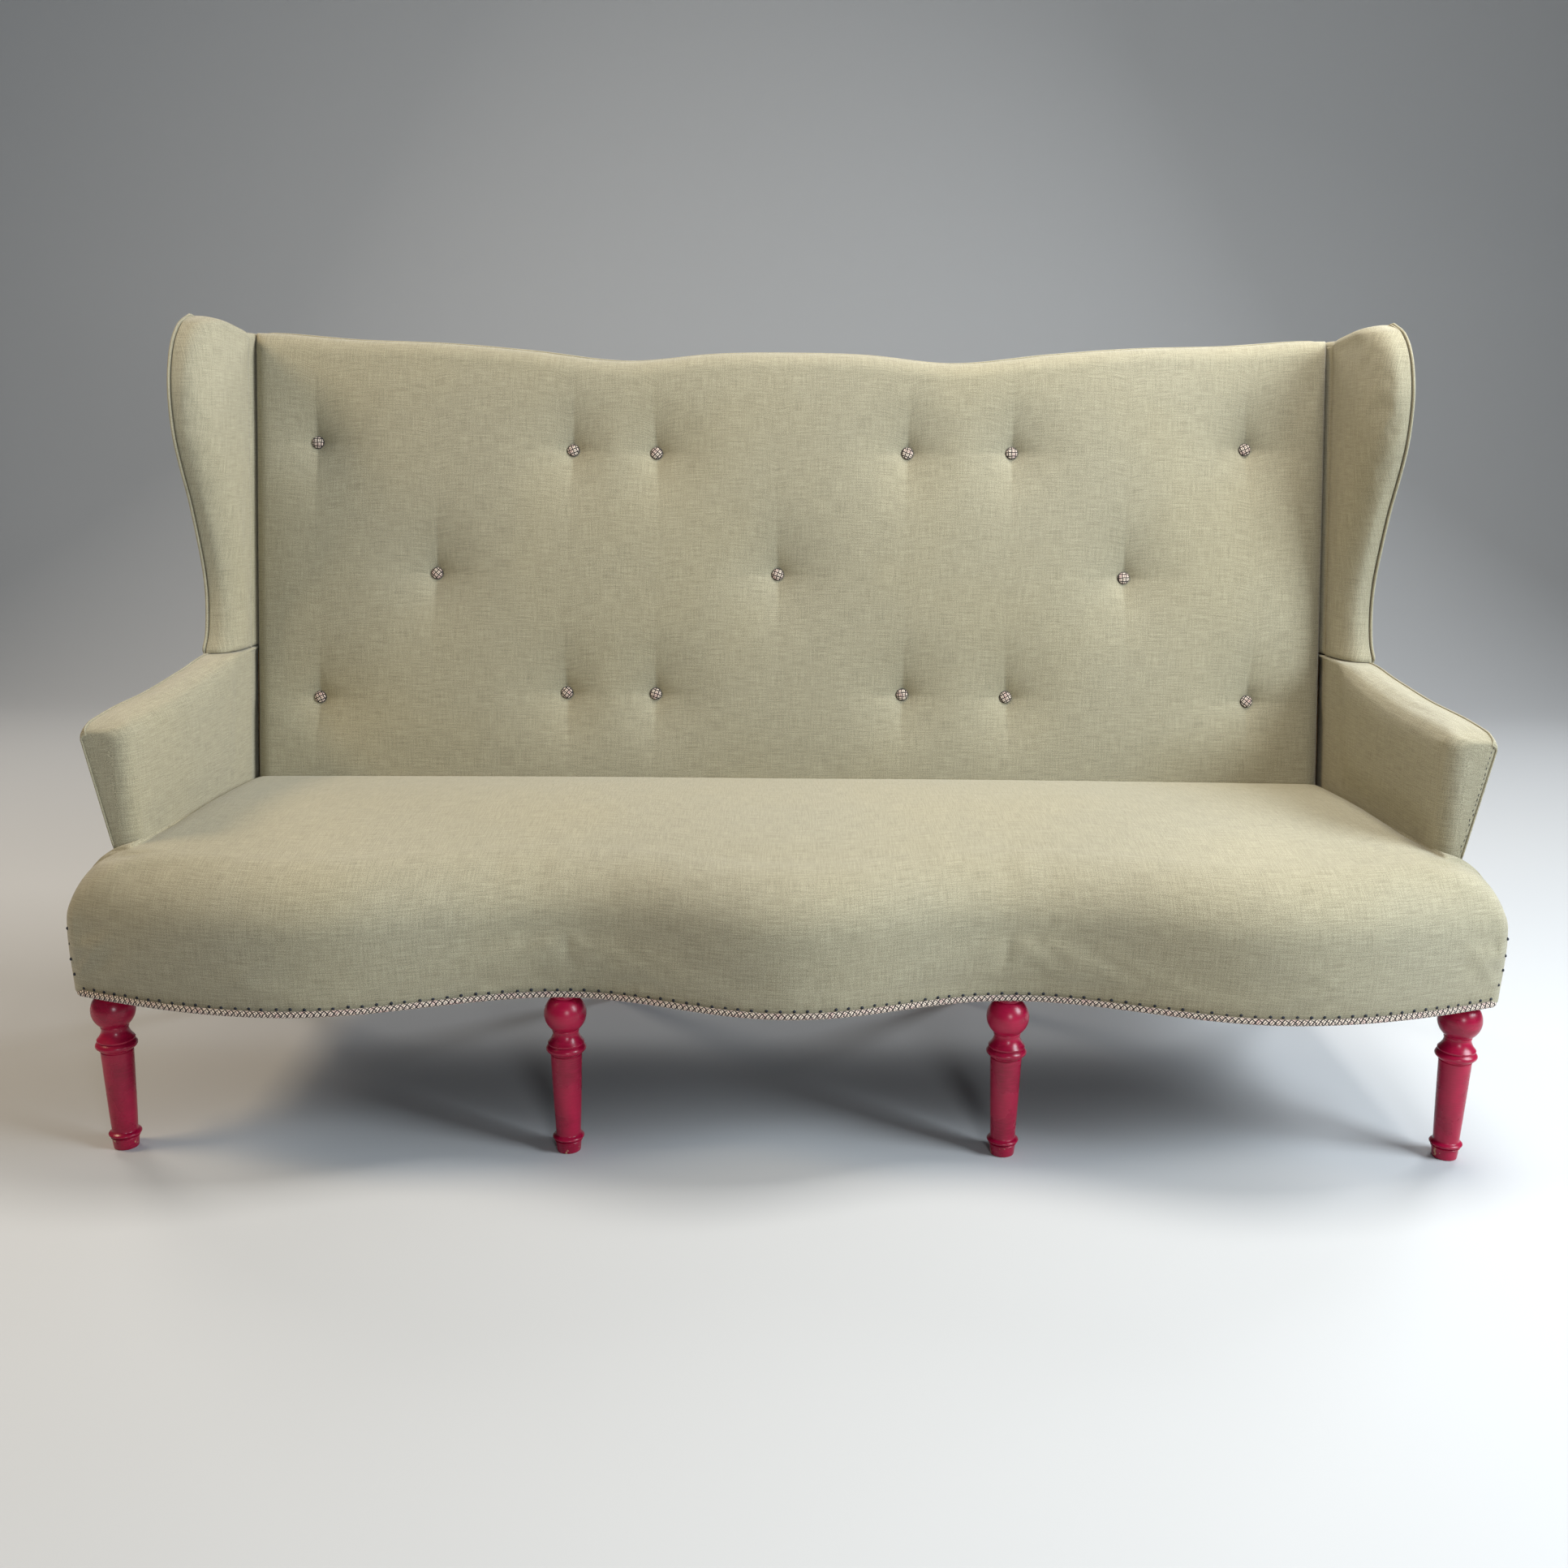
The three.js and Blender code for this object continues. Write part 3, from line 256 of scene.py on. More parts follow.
def front_curve(across):
    """The seat's front line in plan, with the legs' axes at zero."""
    x = abs(across)
    if x <= INNER_LEG:
        bulge = MIDDLE_BULGE * (1 + math.cos(math.pi * x / INNER_LEG)) / 2
    elif x <= BULGE:
        bulge = SIDE_BULGE * (1 - math.cos(math.pi * (x - INNER_LEG) / (BULGE - INNER_LEG))) / 2
    else:
        turn = math.pi / 2 * share_between(x, BULGE, HALF_SEAT)
        bulge = CORNER_BULGE + (SIDE_BULGE - CORNER_BULGE) * math.cos(turn)
    return -FRONT_REACH - bulge


def front_y(across):
    """The front line with the seat's corner rounded off."""
    x = abs(across)
    return front_curve(x) + CORNER_ROUND * float(rounded(share_between(x, CORNER_START, EAR_END)))


def front_normal(across, step=0.001):
    """Unit vector in plan that points forwards, square to the front line."""
    slope = (front_curve(abs(across) + step) - front_curve(abs(across) - step)) / (2 * step)
    slope *= 1 if across >= 0 else -1
    size = math.hypot(1, slope)
    return slope / size, -1 / size


def back_y(z):
    return SEAT_DEPTH + RAKE * (np.asarray(z, float) - SEAT_TOP)


def crest_z(across):
    share = np.minimum(1, np.abs(across) / HALF_BACK)
    return BACK_TOP - CREST_DROP * share_curve(CREST_POINTS, share)


def arm_inner(y):
    t = np.clip((np.asarray(y, float) - ARM_FRONT) / (SEAT_DEPTH - ARM_FRONT), 0, 1)
    return ARM_INNER_FRONT + (ARM_INNER_BACK - ARM_INNER_FRONT) * t


def wing_front(z):
    share = np.clip((np.asarray(z, float) - SEAM) / (WING_TOP - SEAM), 0, 1)
    return back_y(z) - WING_REACH * share_curve(WING_POINTS, share)


def wing_outer(y, z):
    return ARM_OUTER + OUTER_SPLAY * np.maximum(0, back_y(z) - y)


def wing_inner(y, z):
    return ARM_INNER_BACK + INNER_SPLAY * np.maximum(0, back_y(z) - y)


def sloped(x, y, z):
    """The wing's top edge slopes down from its front to meet the crest, and what lies near it tilts alike."""
    rear_share = np.clip(1 - (back_y(z) - y) / (back_y(z) - wing_front(z)), 0, 1)
    drop = ABOVE_BACK * rear_share * smooth_step(WING_TOP - SLOPE_HEIGHT, WING_TOP, z)
    return float(x), float(y - RAKE * drop), float(z - drop)


ARM_BACK_START = float(wing_front(SEAM))
ARM_BACK_END = float(back_y(SEAM))
BACK_LEAN = (float(wing_outer(ARM_BACK_START, SEAM)) - ARM_OUTER) / (SEAM - LEAN_LEVEL)


def arm_lean(y):
    if y <= ARM_BACK_START:
        return FRONT_LEAN + (BACK_LEAN - FRONT_LEAN) * share_between(y, ARM_FRONT, ARM_BACK_START)
    return BACK_LEAN * (1 - share_between(y, ARM_BACK_START, ARM_BACK_END))


def arm_outer(y, z):
    return ARM_OUTER + arm_lean(y) * max(0.0, z - LEAN_LEVEL)


def arm_top(y):
    share = share_between(y, ARM_FRONT, ARM_BACK_START)
    return SEAT_TOP + ARM_RISE + ARM_CLIMB * float(share_curve(ARM_TOP_POINTS, share))


def arm_ease(y):
    """How far the arm's cover draws in as it turns round the arm's front edges."""
    turn = math.acos(1 - share_between(y, ARM_FRONT, ARM_FRONT + ARM_ROUND))
    return ARM_DRAW * (1 - math.sin(turn))


def eased_top(y):
    """The arm's top, lower where its cover turns down to the front."""
    return arm_top(y) - arm_ease(y) * ARM_TOP_DROP


def beside_back(distance):
    """How far the arms' and the wings' inner faces draw away where they meet the back."""
    return SIDE_GAP_DEPTH * rounded(np.clip(1 - np.asarray(distance, float) / SIDE_GAP_WIDTH, 0, 1))


# Meshes

def run_of(a, b, count):
    """Places from a to b, without the first."""
    return [a + (b - a) * (i + 1) / count for i in range(count)]


def trace(corners, counts):
    """Points along straight stretches between corners, each corner kept once."""
    points = [corners[0]]
    for a, b, count in zip(corners, corners[1:], counts):
        points += [tuple(a[k] + (b[k] - a[k]) * (i + 1) / count for k in range(len(a))) for i in range(count)]
    return points


def linked(name, data):
    """A new object of the scene, at the origin."""
    thing = bpy.data.objects.new(name, data)
    bpy.context.scene.collection.objects.link(thing)
    return thing


def plain_mesh(name, points, faces, uvs=None):
    """A mesh object at the origin. points are in the maker's frame, with the legs' axes at y = 0."""
    mesh = bpy.data.meshes.new(name)
    mesh.from_pydata([(x, y + AXIS_Y, z) for x, y, z in points], [], faces)
    mesh.update()
    if uvs is not None:
        layer = mesh.uv_layers.new(name="Cloth")
        flat = np.array([uv for face in uvs for uv in face], dtype=np.float32).ravel()
        layer.data.foreach_set("uv", flat)
    return linked(name, mesh)


def ring_loft(name, rings, along, start=0.0):
    """A closed skin over rings of equal count. The cloth's map follows the rings in metres."""
    grid = np.array(rings, float)
    rows, count, _ = grid.shape
    steps = np.linalg.norm(np.roll(grid, -1, axis=1) - grid, axis=2)
    across = np.concatenate([np.zeros((rows, 1)), np.cumsum(steps, axis=1)], axis=1) + start
    points = [tuple(p) for p in grid.reshape(-1, 3)]
    faces = []
    uvs = []
    for i in range(rows - 1):
        for j in range(count):
            k = (j + 1) % count
            faces.append((i * count + j, i * count + k, (i + 1) * count + k, (i + 1) * count + j))
            uvs.append([(along[i], across[i, j]), (along[i], across[i, j + 1]),
                        (along[i + 1], across[i + 1, j + 1]), (along[i + 1], across[i + 1, j])])
    for i, order in ((0, range(count - 1, -1, -1)), (rows - 1, range(count))):
        faces.append(tuple(i * count + j for j in order))
        flat = 1 if np.ptp(grid[i, :, 0]) < np.ptp(grid[i, :, 1]) else 0
        uvs.append([(grid[i, j, flat], grid[i, j, 2]) for j in order])
    piece = plain_mesh(name, points, faces, uvs)
    turn_outwards(piece)
    return piece


def path_lengths(places):
    """How far along a line of places each one lies."""
    lengths = [0.0]
    for a, b in zip(places, places[1:]):
        lengths.append(lengths[-1] + math.dist(a, b))
    return lengths


def turn_outwards(piece):
    bm = bmesh.new()
    bm.from_mesh(piece.data)
    bmesh.ops.remove_doubles(bm, verts=bm.verts, dist=1e-6)
    bmesh.ops.triangulate(bm, faces=[f for f in bm.faces if len(f.verts) > 4])
    bmesh.ops.recalc_face_normals(bm, faces=bm.faces)
    if bm.calc_volume(signed=True) < 0:
        bmesh.ops.reverse_faces(bm, faces=bm.faces)
    bm.to_mesh(piece.data)
    bm.free()


def shade(piece, angle):
    """Smooth shading, with edges past the angle, in degrees, kept crisp."""
    piece.data.shade_smooth()
    bm = bmesh.new()
    bm.from_mesh(piece.data)
    for edge in bm.edges:
        edge.smooth = not edge.is_manifold or edge.calc_face_angle(0) < math.radians(angle)
    bm.to_mesh(piece.data)
    bm.free()


def finished_mesh(piece):
    """Applies a piece's modifiers, leaving a plain mesh."""
    depsgraph = bpy.context.evaluated_depsgraph_get()
    mesh = bpy.data.meshes.new_from_object(piece.evaluated_get(depsgraph))
    mesh.name = piece.name
    piece.modifiers.clear()
    piece.data = mesh
    return piece


def coordinates(piece):
    flat = np.empty(len(piece.data.vertices) * 3)
    piece.data.vertices.foreach_get("co", flat)
    return flat.reshape(-1, 3)


def places_of(piece):
    """The piece's points as x, y and z, with the legs' axes at y = 0."""
    x, y, z = coordinates(piece).T
    return x, y - AXIS_Y, z


def set_coordinates(piece, points):
    piece.data.vertices.foreach_set("co", np.asarray(points, float).ravel())
    piece.data.update()


def stuff(piece, held, sizes):
    """Runs cloth under pressure, with the held places still, and keeps a limited share of its rise."""
    scene = bpy.context.scene
    before = coordinates(piece)
    group = piece.vertex_groups.new(name="held")
    for i, weight in enumerate(held):
        if weight > 0:
            group.add([i], float(weight), "REPLACE")
    cloth = piece.modifiers.new("stuffing", "CLOTH")
    settings = cloth.settings
    settings.quality = 5
    settings.mass = 0.3
    settings.tension_stiffness = 12
    settings.compression_stiffness = 12
    settings.shear_stiffness = 5
    settings.bending_stiffness = 0.8
    settings.use_pressure = True
    settings.uniform_pressure_force = sizes.stuffing_pressure
    settings.effector_weights.gravity = 0
    settings.vertex_group_mass = "held"
    cloth.collision_settings.use_collision = False
    cloth.point_cache.frame_start = 1
    cloth.point_cache.frame_end = 20
    for number in range(1, 21):
        scene.frame_set(number)
    evaluated = piece.evaluated_get(bpy.context.evaluated_depsgraph_get())
    mesh = evaluated.to_mesh()
    flat = np.empty(len(mesh.vertices) * 3)
    mesh.vertices.foreach_get("co", flat)
    evaluated.to_mesh_clear()
    piece.modifiers.remove(cloth)
    scene.frame_set(1)
    moved = flat.reshape(-1, 3) - before
    size = np.linalg.norm(moved, axis=1, keepdims=True)
    limit = sizes.stuffing_rise
    keep = np.where(size > 1e-9, limit * np.tanh(size / limit) / np.maximum(size, 1e-9), 0)
    set_coordinates(piece, before + moved * keep)


def subdivide(piece):
    modifier = piece.modifiers.new("finer", "SUBSURF")
    modifier.levels = 1
    modifier.render_levels = 1
    modifier.uv_smooth = "PRESERVE_BOUNDARIES"
    return finished_mesh(piece)


def give(piece, material):
    piece.data.materials.clear()
    piece.data.materials.append(material)


# Node helpers

class Tree:
    """Places nodes in a tree and joins them in one line each."""

    def __init__(self, tree):
        self.tree = tree
        self.column = 0

    def add(self, kind, inputs=None, **settings):
        node = self.tree.nodes.new(kind)
        self.column += 1
        node.location = (self.column * 180, -(self.column % 5) * 160)
        for name, value in settings.items():
            setattr(node, name, value)
        return self.fill(node, inputs or {})

    def fill(self, node, inputs):
        for name, value in inputs.items():
            self.feed(node.inputs[name], value)
        return node

    def feed(self, socket, value):
        if isinstance(value, bpy.types.NodeSocket):
            self.tree.links.new(value, socket)
        elif isinstance(value, bpy.types.Node):
            self.tree.links.new(value.outputs[0], socket)
        else:
            socket.default_value = value

    def maths(self, operation, a, b=0.0, clamp=False):
        return self.add("ShaderNodeMath", {0: a, 1: b}, operation=operation, use_clamp=clamp).outputs[0]

    def noise(self, place, scale, detail, roughness=0.5):
        inputs = {"Vector": place, "Scale": scale, "Detail": detail, "Roughness": roughness}
        return self.add("ShaderNodeTexNoise", inputs).outputs[0]

    def stretched_noise(self, place, scale, detail):
        """Noise with its own scale along each axis."""
        return self.noise(self.add("ShaderNodeMapping", {"Vector": place, "Scale": scale}), 1.0, detail)

    def bump(self, height, strength, distance):
        return self.add("ShaderNodeBump", {"Height": height, "Strength": strength, "Distance": distance})

    def mix(self, factor, a, b):
        node = self.add("ShaderNodeMix", {0: factor, 6: a, 7: b}, data_type="RGBA")
        return node.outputs[2]

    def ramp(self, value, stops, smooth=False):
        node = self.add("ShaderNodeValToRGB", {"Fac": value})
        node.color_ramp.interpolation = "EASE" if smooth else "LINEAR"
        elements = node.color_ramp.elements
        while len(elements) < len(stops):
            elements.new(0.5)
        for element, (place, shade_value) in zip(elements, stops):
            element.position = place
            element.color = (shade_value, shade_value, shade_value, 1)
        return node.outputs["Color"]


def new_group(name, inputs, outputs):
    group = bpy.data.node_groups.new(name, "ShaderNodeTree")
    for label, kind, value in inputs:
        socket = group.interface.new_socket(label, in_out="INPUT", socket_type=kind)
        socket.default_value = value
    for label, kind in outputs:
        group.interface.new_socket(label, in_out="OUTPUT", socket_type=kind)
    tree = Tree(group)
    return group, tree, tree.add("NodeGroupInput"), tree.add("NodeGroupOutput")


def weave_group():
    """Plain weave with slubs: streaks along both thread directions, and the bump of single threads."""
    if "Weave" in bpy.data.node_groups:
        return bpy.data.node_groups["Weave"]
    group, t, given, made = new_group(
        "Weave",
        [("Vector", "NodeSocketVector", (0, 0, 0)), ("Thread", "NodeSocketFloat", 0.0012),
         ("Slub Length", "NodeSocketFloat", 0.03), ("Unevenness", "NodeSocketFloat", 2.6),
         ("Grain", "NodeSocketFloat", 0.0)],
        [("Tone", "NodeSocketFloat"), ("Height", "NodeSocketFloat")])
    split = t.add("ShaderNodeSeparateXYZ", {0: given.outputs["Vector"]})
    along, up = split.outputs[0], split.outputs[1]
    per_thread = t.maths("DIVIDE", 1.0, given.outputs["Thread"])
    per_slub = t.maths("DIVIDE", 1.0, given.outputs["Slub Length"])

    def streaks(first, second, seed):
        place = t.add("ShaderNodeCombineXYZ", {
            0: t.maths("MULTIPLY", first, per_slub), 1: t.maths("MULTIPLY", second, per_thread), 2: seed})
        return t.noise(place, 0.55, 2.0, 0.6)

    def ridges(value):
        return t.maths("SINE", t.maths("MULTIPLY", t.maths("MULTIPLY", value, per_thread), math.pi))

    weft = t.maths("MULTIPLY", streaks(along, up, 0.0), 0.55)
    warp = t.maths("MULTIPLY", streaks(up, along, 7.3), 0.45)
    spread = t.maths("SUBTRACT", t.maths("ADD", weft, warp), 0.5)
    spread = t.maths("MULTIPLY", spread, given.outputs["Unevenness"])
    fibres = t.noise(given.outputs["Vector"], per_thread, 1.0)
    grain = t.maths("MULTIPLY", t.maths("SUBTRACT", fibres, 0.5), given.outputs["Grain"])
    tone = t.maths("ADD", t.maths("ADD", spread, grain), 0.5, clamp=True)
    crossing = t.maths("MULTIPLY", ridges(along), ridges(up))
    height = t.maths("ADD", t.maths("MULTIPLY", crossing, 0.35), tone)
    t.fill(made, {"Tone": tone, "Height": height})
    return group


def patina_group():
    """Soft patches of slightly darker or warmer cloth, from years of use."""
    if "Patina" in bpy.data.node_groups:
        return bpy.data.node_groups["Patina"]
    group, t, given, made = new_group(
        "Patina",
        [("Vector", "NodeSocketVector", (0, 0, 0)), ("Patch", "NodeSocketFloat", 0.35)],
        [("Mask", "NodeSocketFloat"), ("Specks", "NodeSocketFloat")])
    wide = t.noise(given.outputs["Vector"], t.maths("DIVIDE", 1.0, given.outputs["Patch"]), 3.0)
    fine = t.noise(given.outputs["Vector"], 420.0, 1.0)
    t.feed(made.inputs["Mask"], t.ramp(wide, [(0.32, 0.0), (0.68, 1.0)], smooth=True))
    t.feed(made.inputs["Specks"], t.ramp(fine, [(0.70, 0.0), (0.78, 1.0)]))
    return group


def finished_material(name, finish, *values):
    """The material of this name, which its finish fills in when it is first asked for."""
    material = bpy.data.materials.get(name)
    if material is None:
        material = bpy.data.materials.new(name)
        material.use_nodes = True
        material.node_tree.nodes.clear()
        tree = Tree(material.node_tree)
        shader = tree.add("ShaderNodeBsdfPrincipled")
        out = tree.add("ShaderNodeOutputMaterial", {"Surface": shader.outputs[0]})
        out.location = (2400, 0)
        tree.fill(shader, finish(tree, bpy.context.scene.settee_colours, *values))
    return material


def colour(value, scale=1.0):
    """A colour for a node's socket, scaled as a whole or value by value."""
    return tuple(min(1.0, float(part)) for part in np.multiply(tuple(value), scale)) + (1.0,)


def linen_finish(t, colours):
    cloth = t.add("ShaderNodeUVMap", uv_map="Cloth")
    weave = t.add("ShaderNodeGroup", {
        "Vector": cloth, "Thread": 0.0010, "Slub Length": 0.020, "Unevenness": 2.3, "Grain": 3.2,
    }, node_tree=weave_group())
    place = t.add("ShaderNodeTexCoord").outputs["Object"]
    patina = t.add("ShaderNodeGroup", {"Vector": place, "Patch": 0.4}, node_tree=patina_group())
    threads = t.mix(weave.outputs["Tone"], colour(colours.linen, 0.44), colour(colours.linen_thread))
    worn = colour(colours.linen, (1.07, 1.02, 0.90))
    ground = t.mix(patina.outputs["Mask"], colour(colours.linen), worn)
    specks = t.maths("MULTIPLY", patina.outputs["Specks"], 0.2)
    return {
        "Base Color": t.mix(specks, t.mix(0.60, ground, threads), colour(colours.linen, 1.5)),
        "Roughness": 0.86, "Specular IOR Level": 0.22, "Sheen Weight": 0.22, "Sheen Roughness": 0.5,
        "Normal": t.bump(weave.outputs["Height"], 0.35, 0.0006),
    }


def linen_material():
    return finished_material("greige_linen", linen_finish)


def check_finish(t, colours, slant):
    """The woven check: cream and pink bars over black, slanted where it is cut on the bias, with painted
    shade at a button's rim.
    """
    cloth = t.add("ShaderNodeUVMap", uv_map="Cloth")
    turned = t.add("ShaderNodeMapping", {"Vector": cloth, "Rotation": (0, 0, slant)})
    split = t.add("ShaderNodeSeparateXYZ", {0: turned})
    along = t.maths("MULTIPLY", split.outputs[0], 1 / CHECK_PITCH)
    up = t.maths("MULTIPLY", split.outputs[1], 1 / CHECK_PITCH)
    square = t.maths("ADD", t.maths("FLOOR", along), t.maths("FLOOR", up))
    parity = t.maths("MODULO", t.maths("ABSOLUTE", square), 2.0)

    def bars(value):
        wave = t.maths("PINGPONG", t.maths("MULTIPLY", value, 2.0), 0.5)
        return t.ramp(t.maths("MULTIPLY", wave, 2.0), [(0.20, 0.0), (0.38, 1.0)])

    def gaps(value):
        return t.ramp(t.maths("PINGPONG", value, 0.5), [(0.10, 0.0), (0.16, 1.0)])

    chosen = {0: t.maths("GREATER_THAN", parity, 0.5), 2: bars(along), 3: bars(up)}
    light = t.add("ShaderNodeMix", chosen, data_type="FLOAT").outputs[0]
    light = t.maths("MULTIPLY", light, t.maths("MULTIPLY", gaps(along), gaps(up)))
    # Painted shade: where a mesh carries the rim attribute, the pale threads darken to black towards it,
    # standing in for the shadow at a button's turned-under rim
    rim = t.add("ShaderNodeAttribute", attribute_name="rim").outputs["Fac"]
    light = t.maths("MULTIPLY", light, t.maths("SUBTRACT", 1.0, rim))
    noise = t.noise(cloth, 90.0, 2.0)
    shift = t.ramp(noise, [(0.46, 0.0), (0.68, 0.8)])
    threads = t.mix(shift, colour(colours.cream), colour(colours.pink))
    height = t.maths("ADD", light, t.maths("MULTIPLY", noise, 0.3))
    return {
        "Base Color": t.mix(light, colour(colours.black), threads),
        "Roughness": 0.8, "Specular IOR Level": 0.25, "Sheen Weight": 0.15,
        "Normal": t.bump(height, 0.5, 0.0007),
    }


def paint_finish(t, colours):
    """Satin crimson paint over turned wood: brush marks, darker patches at random and small chips near the
    floor.
    """
    place = t.add("ShaderNodeTexCoord").outputs["Object"]
    brush = t.stretched_noise(place, (60, 60, 900), 3.0)
    patch = t.noise(place, 22.0, 4.0)
    fibres = t.stretched_noise(place, (700, 700, 35), 3.0)
    height = t.add("ShaderNodeSeparateXYZ", {0: place}).outputs[2]
    low = t.ramp(t.maths("MULTIPLY", height, 10.0), [(0.02, 1.0), (0.38, 0.0)], smooth=True)
    chance = t.maths("ADD", t.noise(place, 85.0, 5.0, 0.65), t.maths("MULTIPLY", low, 0.12))
    chips = t.ramp(chance, [(0.732, 0.0), (0.742, 1.0)])
    deep = colour(colours.crimson, (0.62, 0.5, 0.6))
    bright = colour(colours.crimson, (1.22, 1.9, 1.4))
    tone = t.mix(t.ramp(patch, [(0.3, 0.0), (0.7, 1.0)], smooth=True), deep, colour(colours.crimson))
    tone = t.mix(t.ramp(brush, [(0.45, 0.0), (0.75, 0.55)]), tone, bright)
    marks = t.maths("ADD", t.maths("MULTIPLY", fibres, 0.5), t.maths("MULTIPLY", brush, 0.35))
    marks = t.maths("SUBTRACT", marks, t.maths("MULTIPLY", chips, 0.8))
    return {
        "Base Color": t.mix(chips, tone, colour(colours.worn_wood)),
        "Roughness": t.maths("ADD", 0.2, t.maths("MULTIPLY", patch, 0.16)), "Specular IOR Level": 0.42,
        "Normal": t.bump(marks, 0.15, 0.0001),
    }


def nail_finish(t, colours):
    noise = t.noise(t.add("ShaderNodeTexCoord").outputs["Object"], 900.0, 2.0)
    return {
        "Base Color": t.mix(noise, colour(colours.nail, 0.6), colour(colours.nail)),
        "Roughness": t.maths("ADD", 0.44, t.maths("MULTIPLY", noise, 0.25)), "Metallic": 0.3,
    }


def nail_material():
    return finished_material("blued_nail", nail_finish)


def beech_finish(t, colours):
    place = t.add("ShaderNodeTexCoord").outputs["Object"]
    grain = t.stretched_noise(place, (9, 120, 120), 5.0)
    fleck = t.stretched_noise(place, (90, 700, 700), 2.0)
    dark = colour(colours.beech, 0.68)
    tone = t.mix(t.ramp(grain, [(0.3, 0.0), (0.7, 1.0)]), dark, colour(colours.beech))
    return {
        "Base Color": t.mix(t.ramp(fleck, [(0.6, 0.0), (0.72, 0.5)]), tone, dark),
        "Roughness": t.maths("ADD", 0.5, t.maths("MULTIPLY", grain, 0.2)),
        "Normal": t.bump(fleck, 0.2, 0.0004),
    }


def coarse_cloth_finish(t, colours, kind, thread):
    """Jute straps and black cambric: a plain weave on the object's own place."""
    base = getattr(colours, kind)
    place = t.add("ShaderNodeTexCoord").outputs["Object"]
    weave = t.add("ShaderNodeGroup", {"Vector": place, "Thread": thread, "Slub Length": thread * 14},
                  node_tree=weave_group())
    return {
        "Base Color": t.mix(weave.outputs["Tone"], colour(base, 0.6), colour(base, 1.35)),
        "Roughness": 0.92, "Specular IOR Level": 0.2,
        "Normal": t.bump(weave.outputs["Height"], 0.6, thread / 2),
    }


def floor_finish(t, colours):
    return {"Base Color": colour(colours.floor), "Roughness": 0.75, "Specular IOR Level": 0.2}


# The seat

def seat_section(across, rear_of):
    """The seat's section at a place across it, as (y, z) from the front's lower edge over to the rear."""
    x = abs(across)
    past_side = share_between(x, HALF_SEAT, EAR_END)
    bottom = LEG_TOP
    if past_side > 0:
        bottom = SWELL_START + (SWELL_LEVEL - SWELL_START) * math.asin(past_side) * 2 / math.pi
    end_share = share_between(x, EAR_END - EAR_ROUND, EAR_END)
    top = SWELL_LEVEL + (SEAT_TOP - SWELL_LEVEL) * math.sqrt(1 - end_share ** 2)
    corner = share_between(x, CORNER_START, EAR_END)
    swell = FRONT_SWELL * math.sqrt(1 - corner ** 2)
    front = front_y(x)
    points = []
    for share in np.linspace(0, 1, 15):
        z = bottom + (SWELL_LEVEL - bottom) * share
        up = share_between(z, SWELL_START, SWELL_LEVEL)
        points.append((front - swell * math.sin(math.pi / 2 * up), z))
    face = front - swell
    rear = float(rear_of(top))
    full_roll = min(FRONT_ROLL, (rear - face) * 0.8)
    ear_roll = min(full_roll, (ARM_FRONT - GAP - face) * 0.8)
    roll = full_roll + (ear_roll - full_roll) * float(smooth_step(BULGE, ARM_INNER_FRONT, x))
    for share in np.linspace(0, 1, 17)[1:]:
        turn = share * math.pi / 2
        z = SWELL_LEVEL + (top - SWELL_LEVEL) * math.sin(turn)
        points.append((face + roll * (1 - math.cos(turn)), z))
    crown = SEAT_CROWN * (1 - min(1.0, x / EAR_END) ** 6)
    crest = face + roll
    for share in np.linspace(0, 1, 29)[1:]:
        points.append((crest + (rear - crest) * share, top + crown * math.sin(math.pi * share)))
    return points, top, bottom


def seat_ring(across, ear):
    """One closed section of the seat's cover, with its skirt hanging over the rails."""
    side = math.copysign(1.0, across)
    x = abs(across)
    rear_of = (lambda z: arm_foot(x) - GAP) if ear else (lambda z: back_y(z) - GAP)
    points, top, bottom = seat_section(x, rear_of)
    skirt = front_y(x) + 0.0025
    rear_top = (float(rear_of(top)), top)
    rear = ARM_FRONT - GAP
    lining = rear - SKIRT
    front_foot = (skirt, bottom)
    if x > HALF_SEAT - SKIRT:
        corners = [rear_top, (rear, bottom), (rear, bottom), (lining, bottom), front_foot, front_foot]
    elif x > ARM_OUTER + GAP:
        corners = [rear_top, (rear, bottom), (lining, bottom), (lining, DECK), (skirt, DECK), front_foot]
    else:
        deck_rear = (float(rear_of(DECK)), DECK)
        corners = [rear_top, deck_rear, deck_rear, deck_rear, (skirt, DECK), front_foot]
    points += trace(corners, (7, 1, 4, 22, 5))[1:]
    ring = []
    for y, z in points:
        reach = x if ear else min(x, float(arm_inner(y)) - GAP)
        if z > SWELL_LEVEL:
            # The edge turns down less near the arm's front, or it would leave a dark notch there
            depth = 0.25 + 0.75 * float(smooth_step(ARM_FRONT + 0.02, ARM_FRONT + 0.14, y))
            by_back = 0.0 if ear else edge_roll(float(back_y(z)) - y)
            z -= max(edge_roll(to_arm(reach, y)) * depth, by_back)
        ring.append((side * reach, y, z))
    return ring


def arm_foot(across):
    """Where the arm's rounded front meets the seat, at a place across it."""
    share = 1 - share_between(across, ARM_INNER_FRONT, ARM_INNER_FRONT + ARM_DRAW)
    return ARM_FRONT + ARM_ROUND * float(rounded(share))


def to_arm(across, y):
    """How far a place on the seat lies from the arm's rounded foot."""
    aside = max(0.0, float(arm_inner(y)) + ARM_DRAW - across)
    before = max(0.0, ARM_FRONT + ARM_ROUND - y) * ARM_DRAW / ARM_ROUND
    return max(0.0, math.hypot(aside, before) - ARM_DRAW)


def edge_roll(distance):
    """How far the seat's top turns down this near to an arm or the back."""
    return EDGE_ROLL_DEPTH * float(rounded(1 - share_between(distance, 0.0, EDGE_ROLL_WIDTH)))


